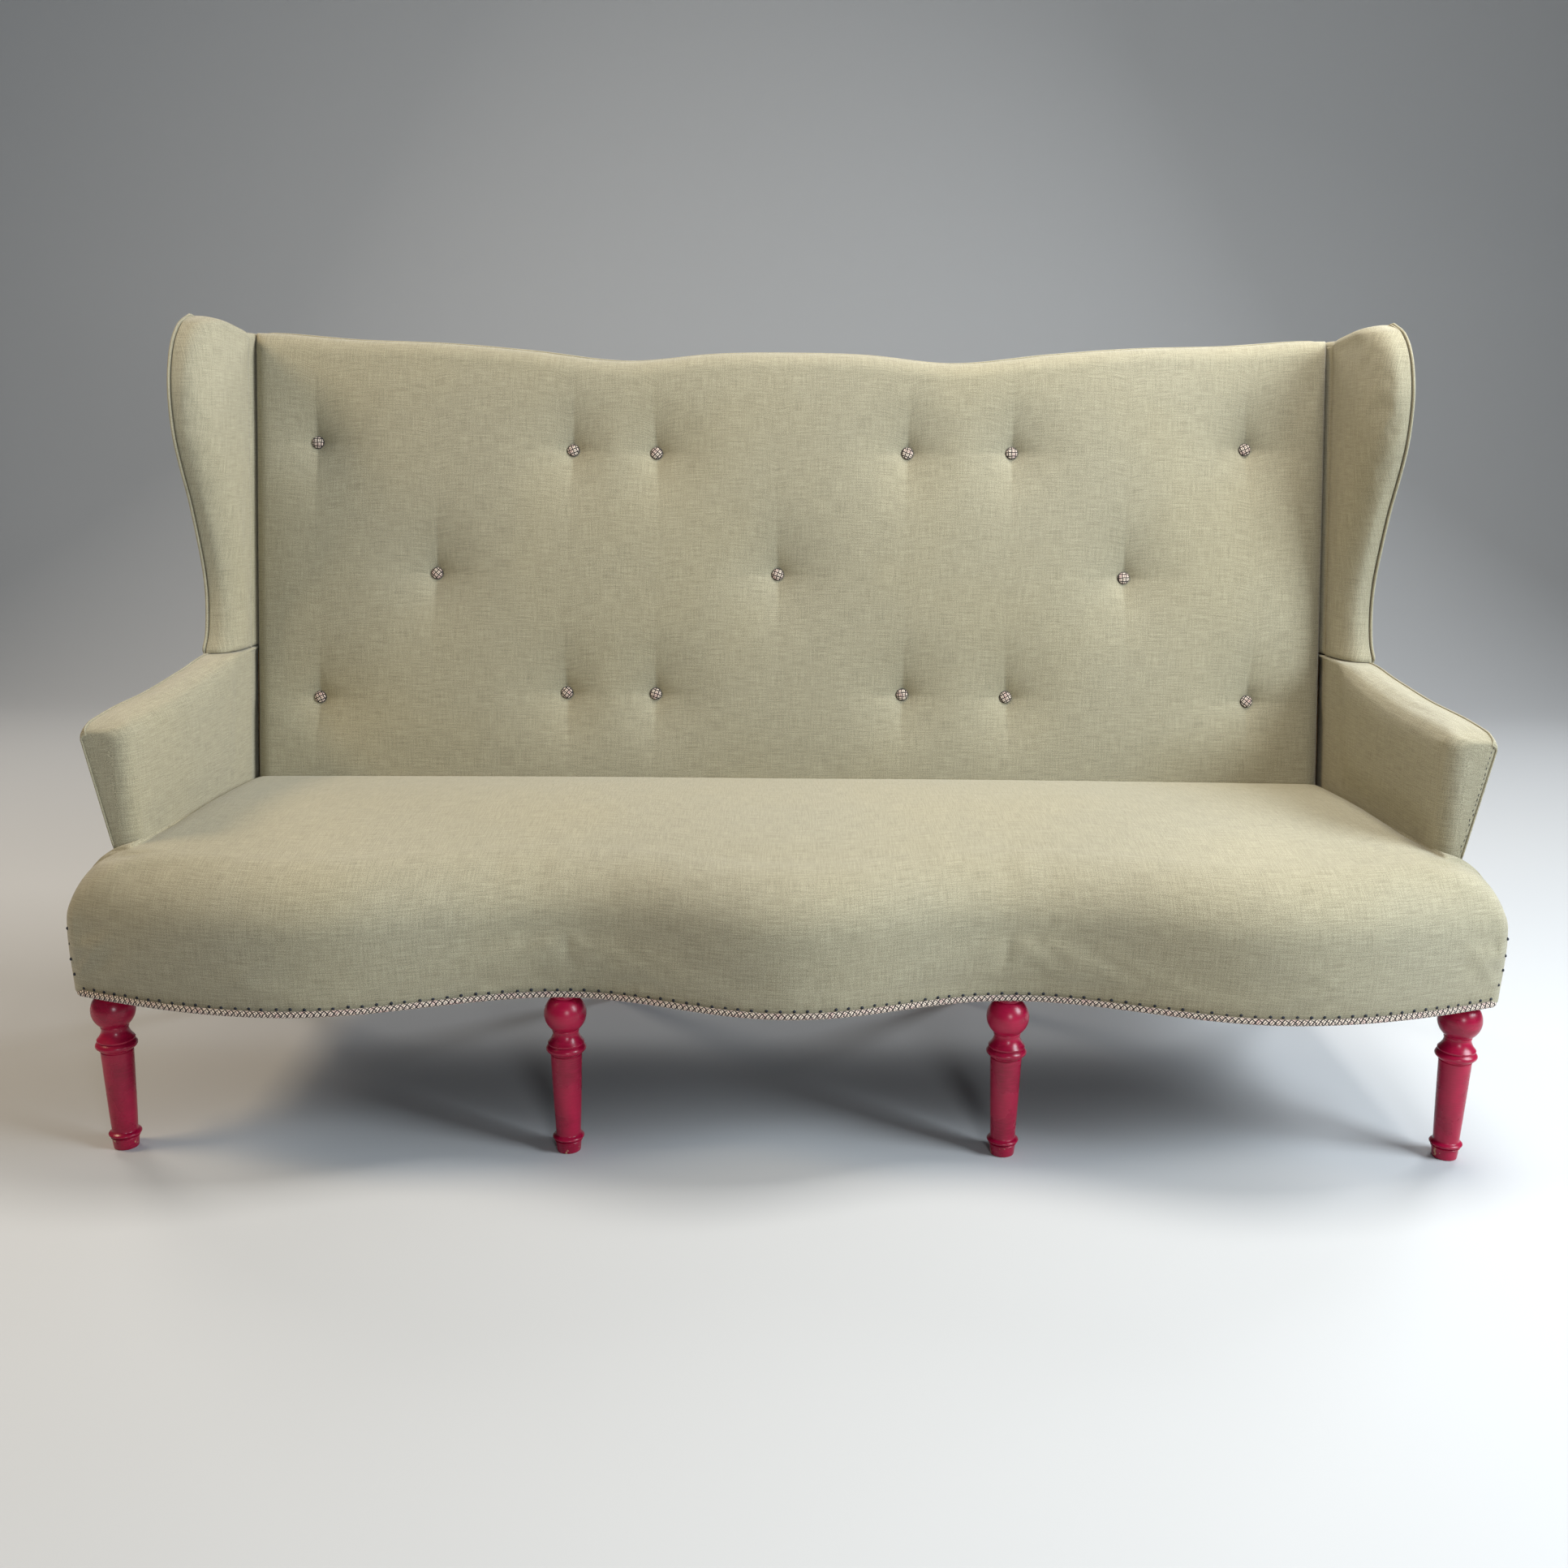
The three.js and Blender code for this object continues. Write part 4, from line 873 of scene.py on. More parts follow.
def ear_stations():
    """Places across the ear in front of the arm: over the frame, its lining and the seat's side."""
    lining = ARM_OUTER + GAP + STEP
    wall = HALF_SEAT - SKIRT + STEP
    places = [ARM_INNER_FRONT] + run_of(ARM_INNER_FRONT, lining - STEP, 7)
    places += [lining] + run_of(lining, wall - STEP, 8)
    places += [wall] + run_of(wall, HALF_SEAT, 2)
    shares = (0.01, 0.25, 0.5, 0.7, 0.84, 0.94, 0.985)
    return places + [HALF_SEAT + (EAR_END - HALF_SEAT) * share for share in shares]


def seat_piece():
    half = run_of(0, ARM_INNER_FRONT - GAP, 100)
    ears = ear_stations()
    rings = [seat_ring(-x, True) for x in reversed(ears)]
    rings += [seat_ring(-x, False) for x in reversed(half)]
    rings += [seat_ring(x, False) for x in [1e-9] + half]
    rings += [seat_ring(x, True) for x in ears]
    outwards = path_lengths([(x, front_y(max(x, CORNER_START))) for x in half + ears])
    outwards = [half[0] + length for length in outwards]
    along = [-length for length in reversed(outwards)] + [0.0] + outwards
    return ring_loft("seat_cover", rings, along)


class SETTEE_OT_seat(bpy.types.Operator):
    """Makes the seat's stuffed linen cover"""

    bl_idname = "settee.seat"
    bl_label = "Seat"

    def execute(self, context):
        piece = seat_piece()
        x, y, z = places_of(piece)
        inside = (z < DECK + 0.001) & (y > 0.002 + np.array([front_y(v) for v in x]))
        free = smooth_step(LEG_TOP + 0.012, LEG_TOP + 0.05, z) * smooth_step(0.004, 0.05, back_y(z) - y)
        beside_arm = smooth_step(0.0, 0.03, arm_inner(y) - np.abs(x))
        free *= np.where(y > ARM_FRONT - 0.012, beside_arm, 1.0)
        free[inside] = 0
        stuff(piece, 1 - free, context.scene.settee_sizes)
        subdivide(piece)
        self.pucker(piece)
        shade(piece, 50)
        give(piece, linen_material())
        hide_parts("seat_pad")
        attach(piece, "root")
        return {"FINISHED"}

    def pucker(self, piece):
        """Faint pull lines where the cover turns over the front edge."""
        points = coordinates(piece)
        x, y, _ = places_of(piece)
        front = np.array([front_y(v) for v in x])
        over = np.exp(-((y - front - 0.03) / 0.055) ** 2) * smooth_step(0.34, 0.40, points[:, 2])
        wave = np.sin(x * 61 + 2.1 * np.sin(x * 17)) * 0.6 + np.sin(x * 113 + 1.3) * 0.4
        gather = 0.35 + 0.65 * np.exp(-((np.abs(x) - INNER_LEG) / 0.12) ** 2)
        points[:, 2] += over * wave * gather * 0.0011
        set_coordinates(piece, points)


# The back

def spread_places(start, end, centres, reach, fine, coarse):
    """Places from start to end, closer together within reach of the centres."""
    places = [start]
    while places[-1] < end:
        here = places[-1]
        near = min(abs(here - c) for c in centres)
        step = fine + (coarse - fine) * float(smooth_step(reach * 0.6, reach * 1.6, near))
        places.append(here + step)
    scale = (end - start) / (places[-1] - start)
    return [start + (p - start) * scale for p in places]


def tuft_depth(x, z, sizes):
    """How far behind the back's plane the cover lies, for arrays of places across and up."""
    crest = crest_z(x)
    across = np.clip(np.abs(x) / HALF_BACK, 0, 1)
    up = np.clip((z - SEAT_TOP) / (crest - SEAT_TOP), 0, 1)
    crown = 0.008 * (1 - across ** 8) * np.sqrt(np.sin(np.pi * up))
    pull = np.zeros_like(z)
    for n, (bx, bz) in enumerate(BUTTON_PLACES):
        dx = x - bx
        dz = z - bz
        round_pull = np.exp(-np.maximum(0, np.hypot(dx, dz) - 0.8 * sizes.button_radius) / 0.033)
        sway = 0.05 * math.sin(n * 2.3)
        along_weave = np.exp(-np.maximum(0, np.abs(dx - sway * dz) / 0.036 + np.abs(dz) / 0.052 - 0.24))
        own = sizes.tuft_depth * (round_pull + (along_weave - round_pull) * sizes.crease_share)
        pull = np.maximum(pull, own) + 0.15 * np.minimum(pull, own)
    depth = pull * np.minimum(1, np.sin(np.pi * up) * 3) - crown
    return np.where(z <= SEAT_TOP, 0.0, depth)


def side_roll(x):
    """The back's face turns away from the wings and the arms at its sides."""
    turn = (np.abs(x) - HALF_BACK + SIDE_ROLL_WIDTH) / SIDE_ROLL_WIDTH
    return SIDE_ROLL_DEPTH * rounded(np.clip(turn, 0, 1))


def back_rings(xs, rows, rise, sizes):
    """Upright sections of the back's cover. rise holds how far the stuffing lifts each place of the face."""
    share = (rows - rows[0]) / (rows[-1] - rows[0])
    rings = []
    for x, lift in zip(xs, rise):
        crest = float(crest_z(x))
        # Rows stretch a little so that the last one meets the rolled edge
        top_row = crest - 0.030
        heights = rows + (top_row - rows[-1]) * smooth_step(0.75, 1.0, share)
        depth = tuft_depth(np.full_like(heights, x), heights, sizes) + side_roll(x) + lift
        face = [(float(d), float(z)) for d, z in zip(depth, heights)]
        last = face[-1][0]
        roll = [(last + (0.024 - last) * (1 - math.cos(turn)), top_row + (crest - top_row) * math.sin(turn))
                for turn in run_of(0, math.pi / 2, 8)]
        lap = crest - CREST_LAP
        corners = [(0.024, crest), (BACK_THICKNESS, crest), (BACK_THICKNESS, lap), (PAD_THICKNESS, lap),
                   (PAD_THICKNESS, DECK), (0.0, DECK)]
        under = trace(corners, (5, 2, 4, 30, 4))
        low = [(float(side_roll(x)), z) for z in np.linspace(DECK, SEAT_TOP, 9)[1:-1]]
        section = face + roll + under[1:] + low
        rings.append([(float(x), float(back_y(z)) + d, z) for d, z in section])
    return rings


def stuffed_rise(xs, rows, sizes):
    """How far the stuffing lifts the back's face between its buttons, from cloth run on a coarser cover."""
    still = np.zeros((len(xs), len(rows)))
    trial = ring_loft("back_trial", back_rings(xs, rows, still, sizes), list(xs))
    x, y, z = places_of(trial)
    near = np.full(len(x), 9.0)
    for bx, bz in BUTTON_PLACES:
        near = np.minimum(near, np.hypot(x - bx, z - bz))
    free = smooth_step(0.030, 0.09, near) * smooth_step(SEAT_TOP, SEAT_TOP + 0.06, z)
    free *= smooth_step(0.003, 0.05, HALF_BACK - np.abs(x))
    free *= smooth_step(0.01, 0.06, crest_z(x) - z)
    free[y - back_y(z) > 0.025] = 0
    stuff(trial, 1 - free, sizes)
    moved = (places_of(trial)[1] - y).reshape(len(xs), -1)[:, :len(rows)]
    bpy.data.objects.remove(trial)
    return moved


def between(grid, xs, rows, x, z):
    """Values of a grid at places between its lines."""
    i = np.clip(np.searchsorted(xs, x) - 1, 0, len(xs) - 2)
    k = np.clip(np.searchsorted(rows, z) - 1, 0, len(rows) - 2)
    a = ((x - xs[i]) / (xs[i + 1] - xs[i]))[:, None]
    b = ((z - rows[k]) / (rows[k + 1] - rows[k]))[None, :]
    low = grid[np.ix_(i, k)] * (1 - a) + grid[np.ix_(i + 1, k)] * a
    high = grid[np.ix_(i, k + 1)] * (1 - a) + grid[np.ix_(i + 1, k + 1)] * a
    return low * (1 - b) + high * b


def back_piece(sizes):
    edge = HALF_BACK - GAP
    coarse_xs = np.linspace(-edge, edge, 150)
    coarse_rows = np.linspace(SEAT_TOP, BACK_ROWS_TOP, 56)
    rise = stuffed_rise(coarse_xs, coarse_rows, sizes)
    columns = sorted({round(x, 3) for x, _ in BUTTON_PLACES}) + [-edge, edge]
    levels = [z for _, z in BUTTON_PLACES]
    xs = np.array(spread_places(-edge, edge, columns, 0.042, 0.0028, 0.0125))
    rows = np.array(spread_places(SEAT_TOP, BACK_ROWS_TOP, levels, 0.05, 0.0034, 0.0125))
    fine_rise = between(rise, coarse_xs, coarse_rows, xs, rows)
    return ring_loft("back_cover", back_rings(xs, rows, fine_rise, sizes), list(xs), start=0.1)


class SETTEE_OT_back(bpy.types.Operator):
    """Makes the back's tufted linen cover"""

    bl_idname = "settee.back"
    bl_label = "Back"

    def execute(self, context):
        piece = back_piece(context.scene.settee_sizes)
        shade(piece, 50)
        give(piece, linen_material())
        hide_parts("back_pad")
        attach(piece, "root")
        return {"FINISHED"}


# The arms

def arm_ring(side, y, ease, state, place):
    """One section of an arm's cover. Its state, front, middle or rear, says what frame it leaves room for."""
    top = arm_top(y) - ease * ARM_TOP_DROP
    inner = float(arm_inner(y)) + ease
    rim = COVER_EDGE - COVER_SKIN
    edge = arm_outer(y, top) - COVER_EDGE
    under_wing = float(smooth_step(ARM_BACK_START - 0.020, ARM_BACK_START + 0.012, y))
    arris = 0.018 - 0.014 * under_wing
    drawn = beside_back(float(back_y(SEAT_TOP)) - y) if y < ARM_BACK_START else 0.0
    points = []
    for z in np.linspace(DECK, top - arris, 19):
        points.append((inner + float(drawn + beside_back(back_y(z) - y)), z))
    for turn in np.linspace(0, math.pi / 2, 9)[1:]:
        points.append((inner + arris * (1 - math.cos(turn)), top - arris + arris * math.sin(turn)))
    low = top - 0.0157
    lining = inner + ARM_PAD_THICKNESS
    shoulder = [(edge, top), (edge + rim * 0.7, top - rim * 0.3), (edge + rim, top - rim)]
    if state == "front":
        waist = (arm_outer(y, LEAN_LEVEL) - COVER_SKIN, LEAN_LEVEL)
        corners = shoulder + [waist, (ARM_OUTER - COVER_SKIN, DECK), (inner, DECK)]
    elif state == "middle":
        corners = shoulder + [(arm_outer(y, low) - COVER_SKIN, low), (lining, low), (lining, DECK)]
    else:
        inset = edge - 0.0212
        corners = [(inset, top), (inset, top), (inset, top), (inset, low), (lining, low), (lining, DECK)]
    points += trace([points[-1]] + corners + [(inner, DECK)], (8, 1, 1, 3, 6, 8, 3))[1:-1]
    return [(side * x, float(place(y, z)), z) for x, z in points]


def arm_piece(name, side):
    def upright(y, z):
        return y

    front = []
    for turn in np.linspace(0, math.pi / 2, 12):
        front.append((ARM_FRONT + ARM_ROUND * (1 - math.cos(turn)), ARM_DRAW * (1 - math.sin(turn))))
    post_front = ARM_FRONT + 0.0096
    board_front = ARM_BACK_START + 0.0136
    rings = [arm_ring(side, y, ease, "front" if y < post_front else "middle", upright) for y, ease in front]
    middle = run_of(ARM_FRONT + ARM_ROUND, board_front - STEP, 50)
    rings += [arm_ring(side, y, 0, "middle", upright) for y in middle]
    rear = [board_front] + run_of(board_front, ARM_BACK_END - 0.02, 8)
    rings += [arm_ring(side, y, 0, "rear", upright) for y in rear]
    rings.append(arm_ring(side, ARM_BACK_END, 0, "rear", lambda y, z: back_y(z) + 0.043))
    along = path_lengths(front)
    along += [along[-1] + y - front[-1][0] for y in middle + rear + [ARM_BACK_END + 0.04]]
    return ring_loft(name, rings, along)


class SETTEE_OT_arms(bpy.types.Operator):
    """Makes the two arms' linen covers"""

    bl_idname = "settee.arms"
    bl_label = "Arms"

    def execute(self, context):
        for name, side in SIDES.items():
            piece = arm_piece(f"arm_cover_{name}", side)
            x, y, z = places_of(piece)
            x = np.abs(x)
            on_top = z > np.array([arm_top(v) for v in y]) - 0.0185
            outside = np.array([arm_outer(v, w) for v, w in zip(y, z)])
            free = smooth_step(SEAT_TOP + 0.01, SEAT_TOP + 0.05, z)
            free *= smooth_step(0.0, 0.03, wing_front(z) - y)
            free *= smooth_step(0.004, 0.02, outside - x)
            free *= smooth_step(0.0, 0.012, y - ARM_FRONT)
            free[~((x < arm_inner(y) + 0.0005) | on_top)] = 0
            stuff(piece, 1 - free, context.scene.settee_sizes)
            subdivide(piece)
            shade(piece, 50)
            give(piece, linen_material())
            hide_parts(f"arm_pad_{name}")
            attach(piece, "root")
        return {"FINISHED"}


# The wings

def wing_ring(side, z, ease, state):
    """One section of a wing's cover. state is open, post or cap, for the frame that it leaves room for."""
    w = float(wing_front(z)) + ease
    face = float(back_y(z))
    outer = ARM_OUTER - COVER_SKIN
    rear = face + (BACK_THICKNESS if state == "cap" else 0.0440)
    roll = 0.046
    flare_y = w + roll
    flare_x = float(wing_inner(flare_y, z)) + ease
    start = (ARM_INNER_BACK + ease, rear)
    points = trace([start, (ARM_INNER_BACK + ease, face), (flare_x, flare_y)], (5, 16))
    points = [(x + float(beside_back(abs(face - y))), y) for x, y in points]
    for turn in run_of(0, math.pi / 2, 12):
        forward = roll * math.sin(turn)
        points.append((flare_x + INNER_SPLAY * forward + 0.028 * (1 - math.cos(turn)), flare_y - forward))
    outer_x = float(wing_outer(w, z)) - COVER_SKIN - ease * 0.3
    low_y = w + 0.0134
    low_x = float(wing_outer(low_y, z)) - COVER_SKIN - ease * 0.3
    corners = [(outer_x, w), (low_x, low_y), (low_x, low_y), (outer, face), (outer, rear), start]
    if state == "open":
        board = ARM_OUTER - 0.0242
        corners[2:5] = [(low_x - 0.0209, low_y), (board, face), (board, rear)]
    points += trace([points[-1]] + corners, (4, 3, 4, 14, 5, 3))[1:-1]
    return [sloped(side * x, y, z) for x, y in points]


def wing_piece(name, side):
    bottom = SEAM + GAP
    post = BOARD_TOP + STEP
    levels = [(z, 0, "open") for z in [bottom] + run_of(bottom, BOARD_TOP, 64)]
    levels += [(z, 0, "post") for z in [post] + run_of(post, POST_TOP, 2)]
    top_round = 0.010
    round_start = WING_TOP - top_round
    levels += [(POST_TOP + STEP, 0, "cap"), (round_start, 0, "cap")]
    for turn in np.linspace(0, math.pi / 2, 7)[1:]:
        levels.append((round_start + top_round * math.sin(turn), top_round * (1 - math.cos(turn)), "cap"))
    rings = [wing_ring(side, z, ease, state) for z, ease, state in levels]
    return ring_loft(name, rings, [z for z, _, _ in levels])


class SETTEE_OT_wings(bpy.types.Operator):
    """Makes the two wings' linen covers"""

    bl_idname = "settee.wings"
    bl_label = "Wings"

    def execute(self, context):
        for name, side in SIDES.items():
            piece = wing_piece(f"wing_cover_{name}", side)
            x, y, z = places_of(piece)
            x = np.abs(x)
            free = smooth_step(SEAM + 0.005, SEAM + 0.05, z) * smooth_step(0.0, 0.03, BACK_TOP - z)
            free *= smooth_step(0.0, 0.05, back_y(z) - y)
            free *= smooth_step(0.002, 0.02, wing_outer(y, z) - COVER_SKIN - x)
            free[(x >= wing_inner(y, z) + 0.0300) | (y > back_y(z))] = 0
            stuff(piece, 1 - free, context.scene.settee_sizes)
            subdivide(piece)
            shade(piece, 50)
            give(piece, linen_material())
            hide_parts(f"wing_pad_{name}")
            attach(piece, "root")
        return {"FINISHED"}


# Outside covers

def cover_sheet(name, outer, inner, uv):
    """A thin stretched cover between two grids of points."""
    outer = np.array(outer, float)
    inner = np.array(inner, float)
    rows, columns, _ = outer.shape
    points = [tuple(p) for p in outer.reshape(-1, 3)] + [tuple(p) for p in inner.reshape(-1, 3)]
    under = rows * columns
    faces = []
    uvs = []

    def put(corners, places):
        faces.append(corners)
        uvs.append([uv[i][j] for i, j in places])

    for i in range(rows - 1):
        for j in range(columns - 1):
            places = [(i, j), (i, j + 1), (i + 1, j + 1), (i + 1, j)]
            corners = [a * columns + b for a, b in places]
            put(tuple(corners), places)
            put(tuple(under + c for c in reversed(corners)), places[::-1])
    border = [(0, j) for j in range(columns)] + [(i, columns - 1) for i in range(1, rows)]
    border += [(rows - 1, j) for j in range(columns - 2, -1, -1)] + [(i, 0) for i in range(rows - 2, -1, -1)]
    for a, b in zip(border, border[1:]):
        ia, ib = a[0] * columns + a[1], b[0] * columns + b[1]
        put((ia, under + ia, under + ib, ib), (a, a, b, b))
    piece = plain_mesh(name, points, faces, uvs)
    turn_outwards(piece)
    return piece


def finish_sheet(piece, nodes):
    shade(piece, 40)
    give(piece, linen_material())
    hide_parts(*nodes)
    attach(piece, "root")


def ripple(a, b):
    """Faint unevenness of cloth stretched over an open frame."""
    return 0.0006 * math.sin(a * 19 + 1.7 * math.sin(b * 7)) * math.sin(b * 23 + 0.9)


class SETTEE_OT_outside_covers(bpy.types.Operator):
    """Makes the covers stretched over the outsides of the back, the arms and the wings"""

    bl_idname = "settee.outside_covers"
    bl_label = "Outside covers"

    def execute(self, context):
        self.back()
        for name, side in SIDES.items():
            self.arm(name, side)
            self.wing(name, side)
        return {"FINISHED"}

    def back(self):
        end = 0.9684
        thickness = 0.0022
        outer, inner, uv = [], [], []
        for x in np.linspace(-end, end, 120):
            top = float(crest_z(x)) - 0.0123
            column = []
            for z in [COVER_LOW] + run_of(COVER_LOW, RAIL_TOP, 5) + run_of(RAIL_TOP, top, 48):
                slack = math.sin(math.pi * share_between(z, RAIL_TOP, top)) * (1 - (x / end) ** 6)
                sink = (0.0002 + ripple(x, z) / 2) * max(0.0, slack)
                column.append((float(back_y(max(z, RAIL_TOP))) - sink, z))
            outer.append([(x, y + BACK_THICKNESS, z) for y, z in column])
            inner.append([(x, y + BACK_THICKNESS - thickness, z) for y, z in column])
            uv.append([(x, z) for _, z in column])
        piece = cover_sheet("back_outside_cover", outer, inner, uv)
        finish_sheet(piece, ["outside_back_cover"])

    def arm(self, name, side):
        turned = [ARM_FRONT + ARM_ROUND * (1 - math.cos(turn)) for turn in np.linspace(0, math.pi / 2, 8)]
        ys = [ARM_FRONT + GAP] + turned[1:] + run_of(turned[-1], ARM_BACK_START, 40)
        ys += run_of(ARM_BACK_START, ARM_BACK_END, 12)
        outer, inner, uv = [], [], []
        for n, y in enumerate(ys):
            low_edge = eased_top(y) - COVER_EDGE
            edge = arm_outer(y, low_edge) - COVER_EDGE
            zs = [COVER_LOW] + run_of(COVER_LOW, RAIL_TOP, 4)
            zs += run_of(RAIL_TOP, LEAN_LEVEL, 6) + run_of(LEAN_LEVEL, low_edge, 14)
            last = n == len(ys) - 1
            skins = ([], [])
            for skin, inset in zip(skins, (0.0, COVER_THICKNESS)):
                section = [(arm_outer(y, z) - inset, z) for z in zs]
                reach = COVER_EDGE - inset
                for turn in run_of(0, math.pi / 2, 5):
                    section.append((edge + reach * math.cos(turn), low_edge + reach * math.sin(turn)))
                for x, z in section:
                    depth = float(back_y(max(z, RAIL_TOP))) + COVER_REAR if last else y
                    skin.append((side * x, depth, z))
            outer.append(skins[0])
            inner.append(skins[1])
            uv.append([(d, z) for _, d, z in skins[0]])
        piece = cover_sheet(f"arm_outside_cover_{name}", outer, inner, uv)
        finish_sheet(piece, [f"outside_arm_cover_{name}"])

    def wing(self, name, side):
        outer, inner, uv = [], [], []
        for z in np.linspace(SEAM + GAP, WING_TOP - 0.001, 64):
            w = float(wing_front(z)) + 0.0006
            face = float(back_y(z))
            ys = [w] + run_of(w, face, 18) + run_of(face, face + COVER_REAR, 4)
            tuck = 0.006 * float(smooth_step(WING_TOP - 0.012, WING_TOP, z))
            row = [(float(wing_outer(y, z)) - tuck, y) for y in ys]
            outer.append([sloped(side * x, y, z) for x, y in row])
            inner.append([sloped(side * (x - COVER_THICKNESS), y, z) for x, y in row])
            uv.append([(y, z) for _, y in row])
        piece = cover_sheet(f"wing_outside_cover_{name}", outer, inner, uv)
        finish_sheet(piece, [f"outside_wing_cover_{name}"])


# Cords, welts and rows of small things

def tube(name, path, radius, sides):
    """A round cord along a path, slimmer at its two ends, with the cloth's map round and along it."""
    path = [Vector(p) for p in path]
    rings = []
    normal = Vector((0, 0, 1))
    for i, p in enumerate(path):
        tangent = (path[min(i + 1, len(path) - 1)] - path[max(i - 1, 0)]).normalized()
        side = tangent.cross(normal)
        side = side.normalized() if side.length > 1e-3 else tangent.cross(Vector((0, 1, 0))).normalized()
        up = side.cross(tangent).normalized()
        normal = up
        thin = 0.55 if i in (0, len(path) - 1) else 1.0
        rings.append([tuple(p + radius * thin * (side * math.cos(a) + up * math.sin(a)))
                      for a in np.linspace(0, 2 * math.pi, sides, endpoint=False)])
    return ring_loft(name, rings, path_lengths(path))


def front_path(offset, level, end, count):
    """Points along the seat's front line from left to right, offset forwards from its skirt."""
    path = []
    for x in np.linspace(-end, end, count):
        nx, ny = front_normal(x)
        path.append((x + nx * offset, front_curve(x) + ny * offset, level))
    return path


class SETTEE_OT_piping(bpy.types.Operator):
    """Makes the check piping along the seat's lower front edge"""

    bl_idname = "settee.piping"
    bl_label = "Piping"

    def execute(self, context):
        sizes = context.scene.settee_sizes
        radius = sizes.piping_radius
        path = front_path(radius + GAP * 2, LEG_TOP + radius + 0.0006, HALF_SEAT - 0.016, 420)
        piece = tube("seat_piping_cord", path, radius, sides=12)
        piece.data.shade_smooth()
        bias_check = finished_material("bias_check", check_finish, math.radians(43.5))
        give(piece, bias_check)
        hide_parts("seat_piping")
        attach(piece, "root")
        return {"FINISHED"}


def row_tree(name, segments, scale):
    """A tree that places small squashed balls at even spacing along a curve, turned to the curve's tilt."""
    tree = bpy.data.node_groups.new(name, "GeometryNodeTree")
    tree.interface.new_socket("Geometry", in_out="INPUT", socket_type="NodeSocketGeometry")
    for label, value in (("Spacing", 0.02), ("Size", 0.0026)):
        socket = tree.interface.new_socket(label, in_out="INPUT", socket_type="NodeSocketFloat")
        socket.default_value = value
        socket.subtype = "DISTANCE"
    tree.interface.new_socket("Seed", in_out="INPUT", socket_type="NodeSocketInt")
    tree.interface.new_socket("Material", in_out="INPUT", socket_type="NodeSocketMaterial")
    tree.interface.new_socket("Geometry", in_out="OUTPUT", socket_type="NodeSocketGeometry")
    t = Tree(tree)
    given = t.add("NodeGroupInput")
    made = t.add("NodeGroupOutput")
    points = t.add("GeometryNodeCurveToPoints", {
        "Curve": given.outputs["Geometry"], "Length": given.outputs["Spacing"]}, mode="LENGTH")
    wobble = t.add("FunctionNodeRandomValue", {"Seed": given.outputs["Seed"]}, data_type="FLOAT_VECTOR")
    wobble.inputs[0].default_value = (-0.0014, -0.0002, -0.0008)
    wobble.inputs[1].default_value = (0.0014, 0.0002, 0.0008)
    moved = t.add("GeometryNodeSetPosition", {"Geometry": points, "Offset": wobble})
    ball = t.add("GeometryNodeMeshUVSphere", {
        "Segments": segments, "Rings": 4, "Radius": given.outputs["Size"]})
    shape = t.add("GeometryNodeTransform", {"Geometry": ball, "Scale": scale})
    placed = t.add("GeometryNodeInstanceOnPoints", {
        "Points": moved, "Instance": shape, "Rotation": points.outputs["Rotation"]})
    real = t.add("GeometryNodeRealizeInstances", {"Geometry": placed})
    painted = t.add("GeometryNodeSetMaterial", {"Geometry": real, "Material": given.outputs["Material"]})
    t.feed(made.inputs[0], painted)
    return tree


def make_row(name, tree, paths, spacing, size, material, seed=1):
    """Runs a row tree along paths and leaves one plain mesh."""
    curve = bpy.data.curves.new(name, "CURVE")
    curve.dimensions = "3D"
    for path in paths:
        spline = curve.splines.new("POLY")
        spline.points.add(len(path) - 1)
        for point, place in zip(spline.points, path):
            point.co = (place[0], place[1] + AXIS_Y, place[2], 1)
    holder = linked(name + "_path", curve)
    modifier = holder.modifiers.new("row", "NODES")
    modifier.node_group = tree
    values = {"Spacing": spacing, "Size": size, "Seed": seed, "Material": material}
    for item in tree.interface.items_tree:
        if item.item_type == "SOCKET" and item.in_out == "INPUT" and item.name in values:
            modifier[item.identifier] = values[item.name]
    bpy.context.view_layer.update()
    depsgraph = bpy.context.evaluated_depsgraph_get()
    mesh = bpy.data.meshes.new_from_object(holder.evaluated_get(depsgraph))
    mesh.name = name
    piece = linked(name, mesh)
    bpy.data.objects.remove(holder)
    if not mesh.polygons:
        raise RuntimeError(f"the row {name} is empty")
    piece.data.shade_smooth()
    return piece


class SETTEE_OT_nails(bpy.types.Operator):
    """Drives the rows of dark nails above the piping and up the seat's corners"""

    bl_idname = "settee.nails"
    bl_label = "Nails"

    def execute(self, context):
        sizes = context.scene.settee_sizes
        tree = row_tree("Nail row", 8, (0.55, 1.0, 1.0))
        paths = [front_path(0.0002, LEG_TOP + 0.0104, HALF_SEAT - 0.020, 300)]
        paths += [self.corner_path(side) for side in SIDES.values()]
        paths = [laid_on(bpy.data.objects["seat_cover"], path) for path in paths]
        piece = make_row("seat_nails", tree, paths, sizes.nail_spacing, sizes.nail_radius, nail_material())
        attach(piece, "root")
        return {"FINISHED"}

    def corner_path(self, side):
        """Up the seat's rounded front corner."""
        x = HALF_SEAT - 0.008
        return [(side * x, front_y(x) - 0.006, z) for z in np.linspace(LEG_TOP + 0.030, LEG_TOP + 0.100, 10)]


def laid_on(piece, path):
    """A path moved onto the nearest places of a finished piece."""
    places = [piece.closest_point_on_mesh(Vector((x, y + AXIS_Y, z)))[1] for x, y, z in path]
    return [(place.x, place.y - AXIS_Y, place.z) for place in places]


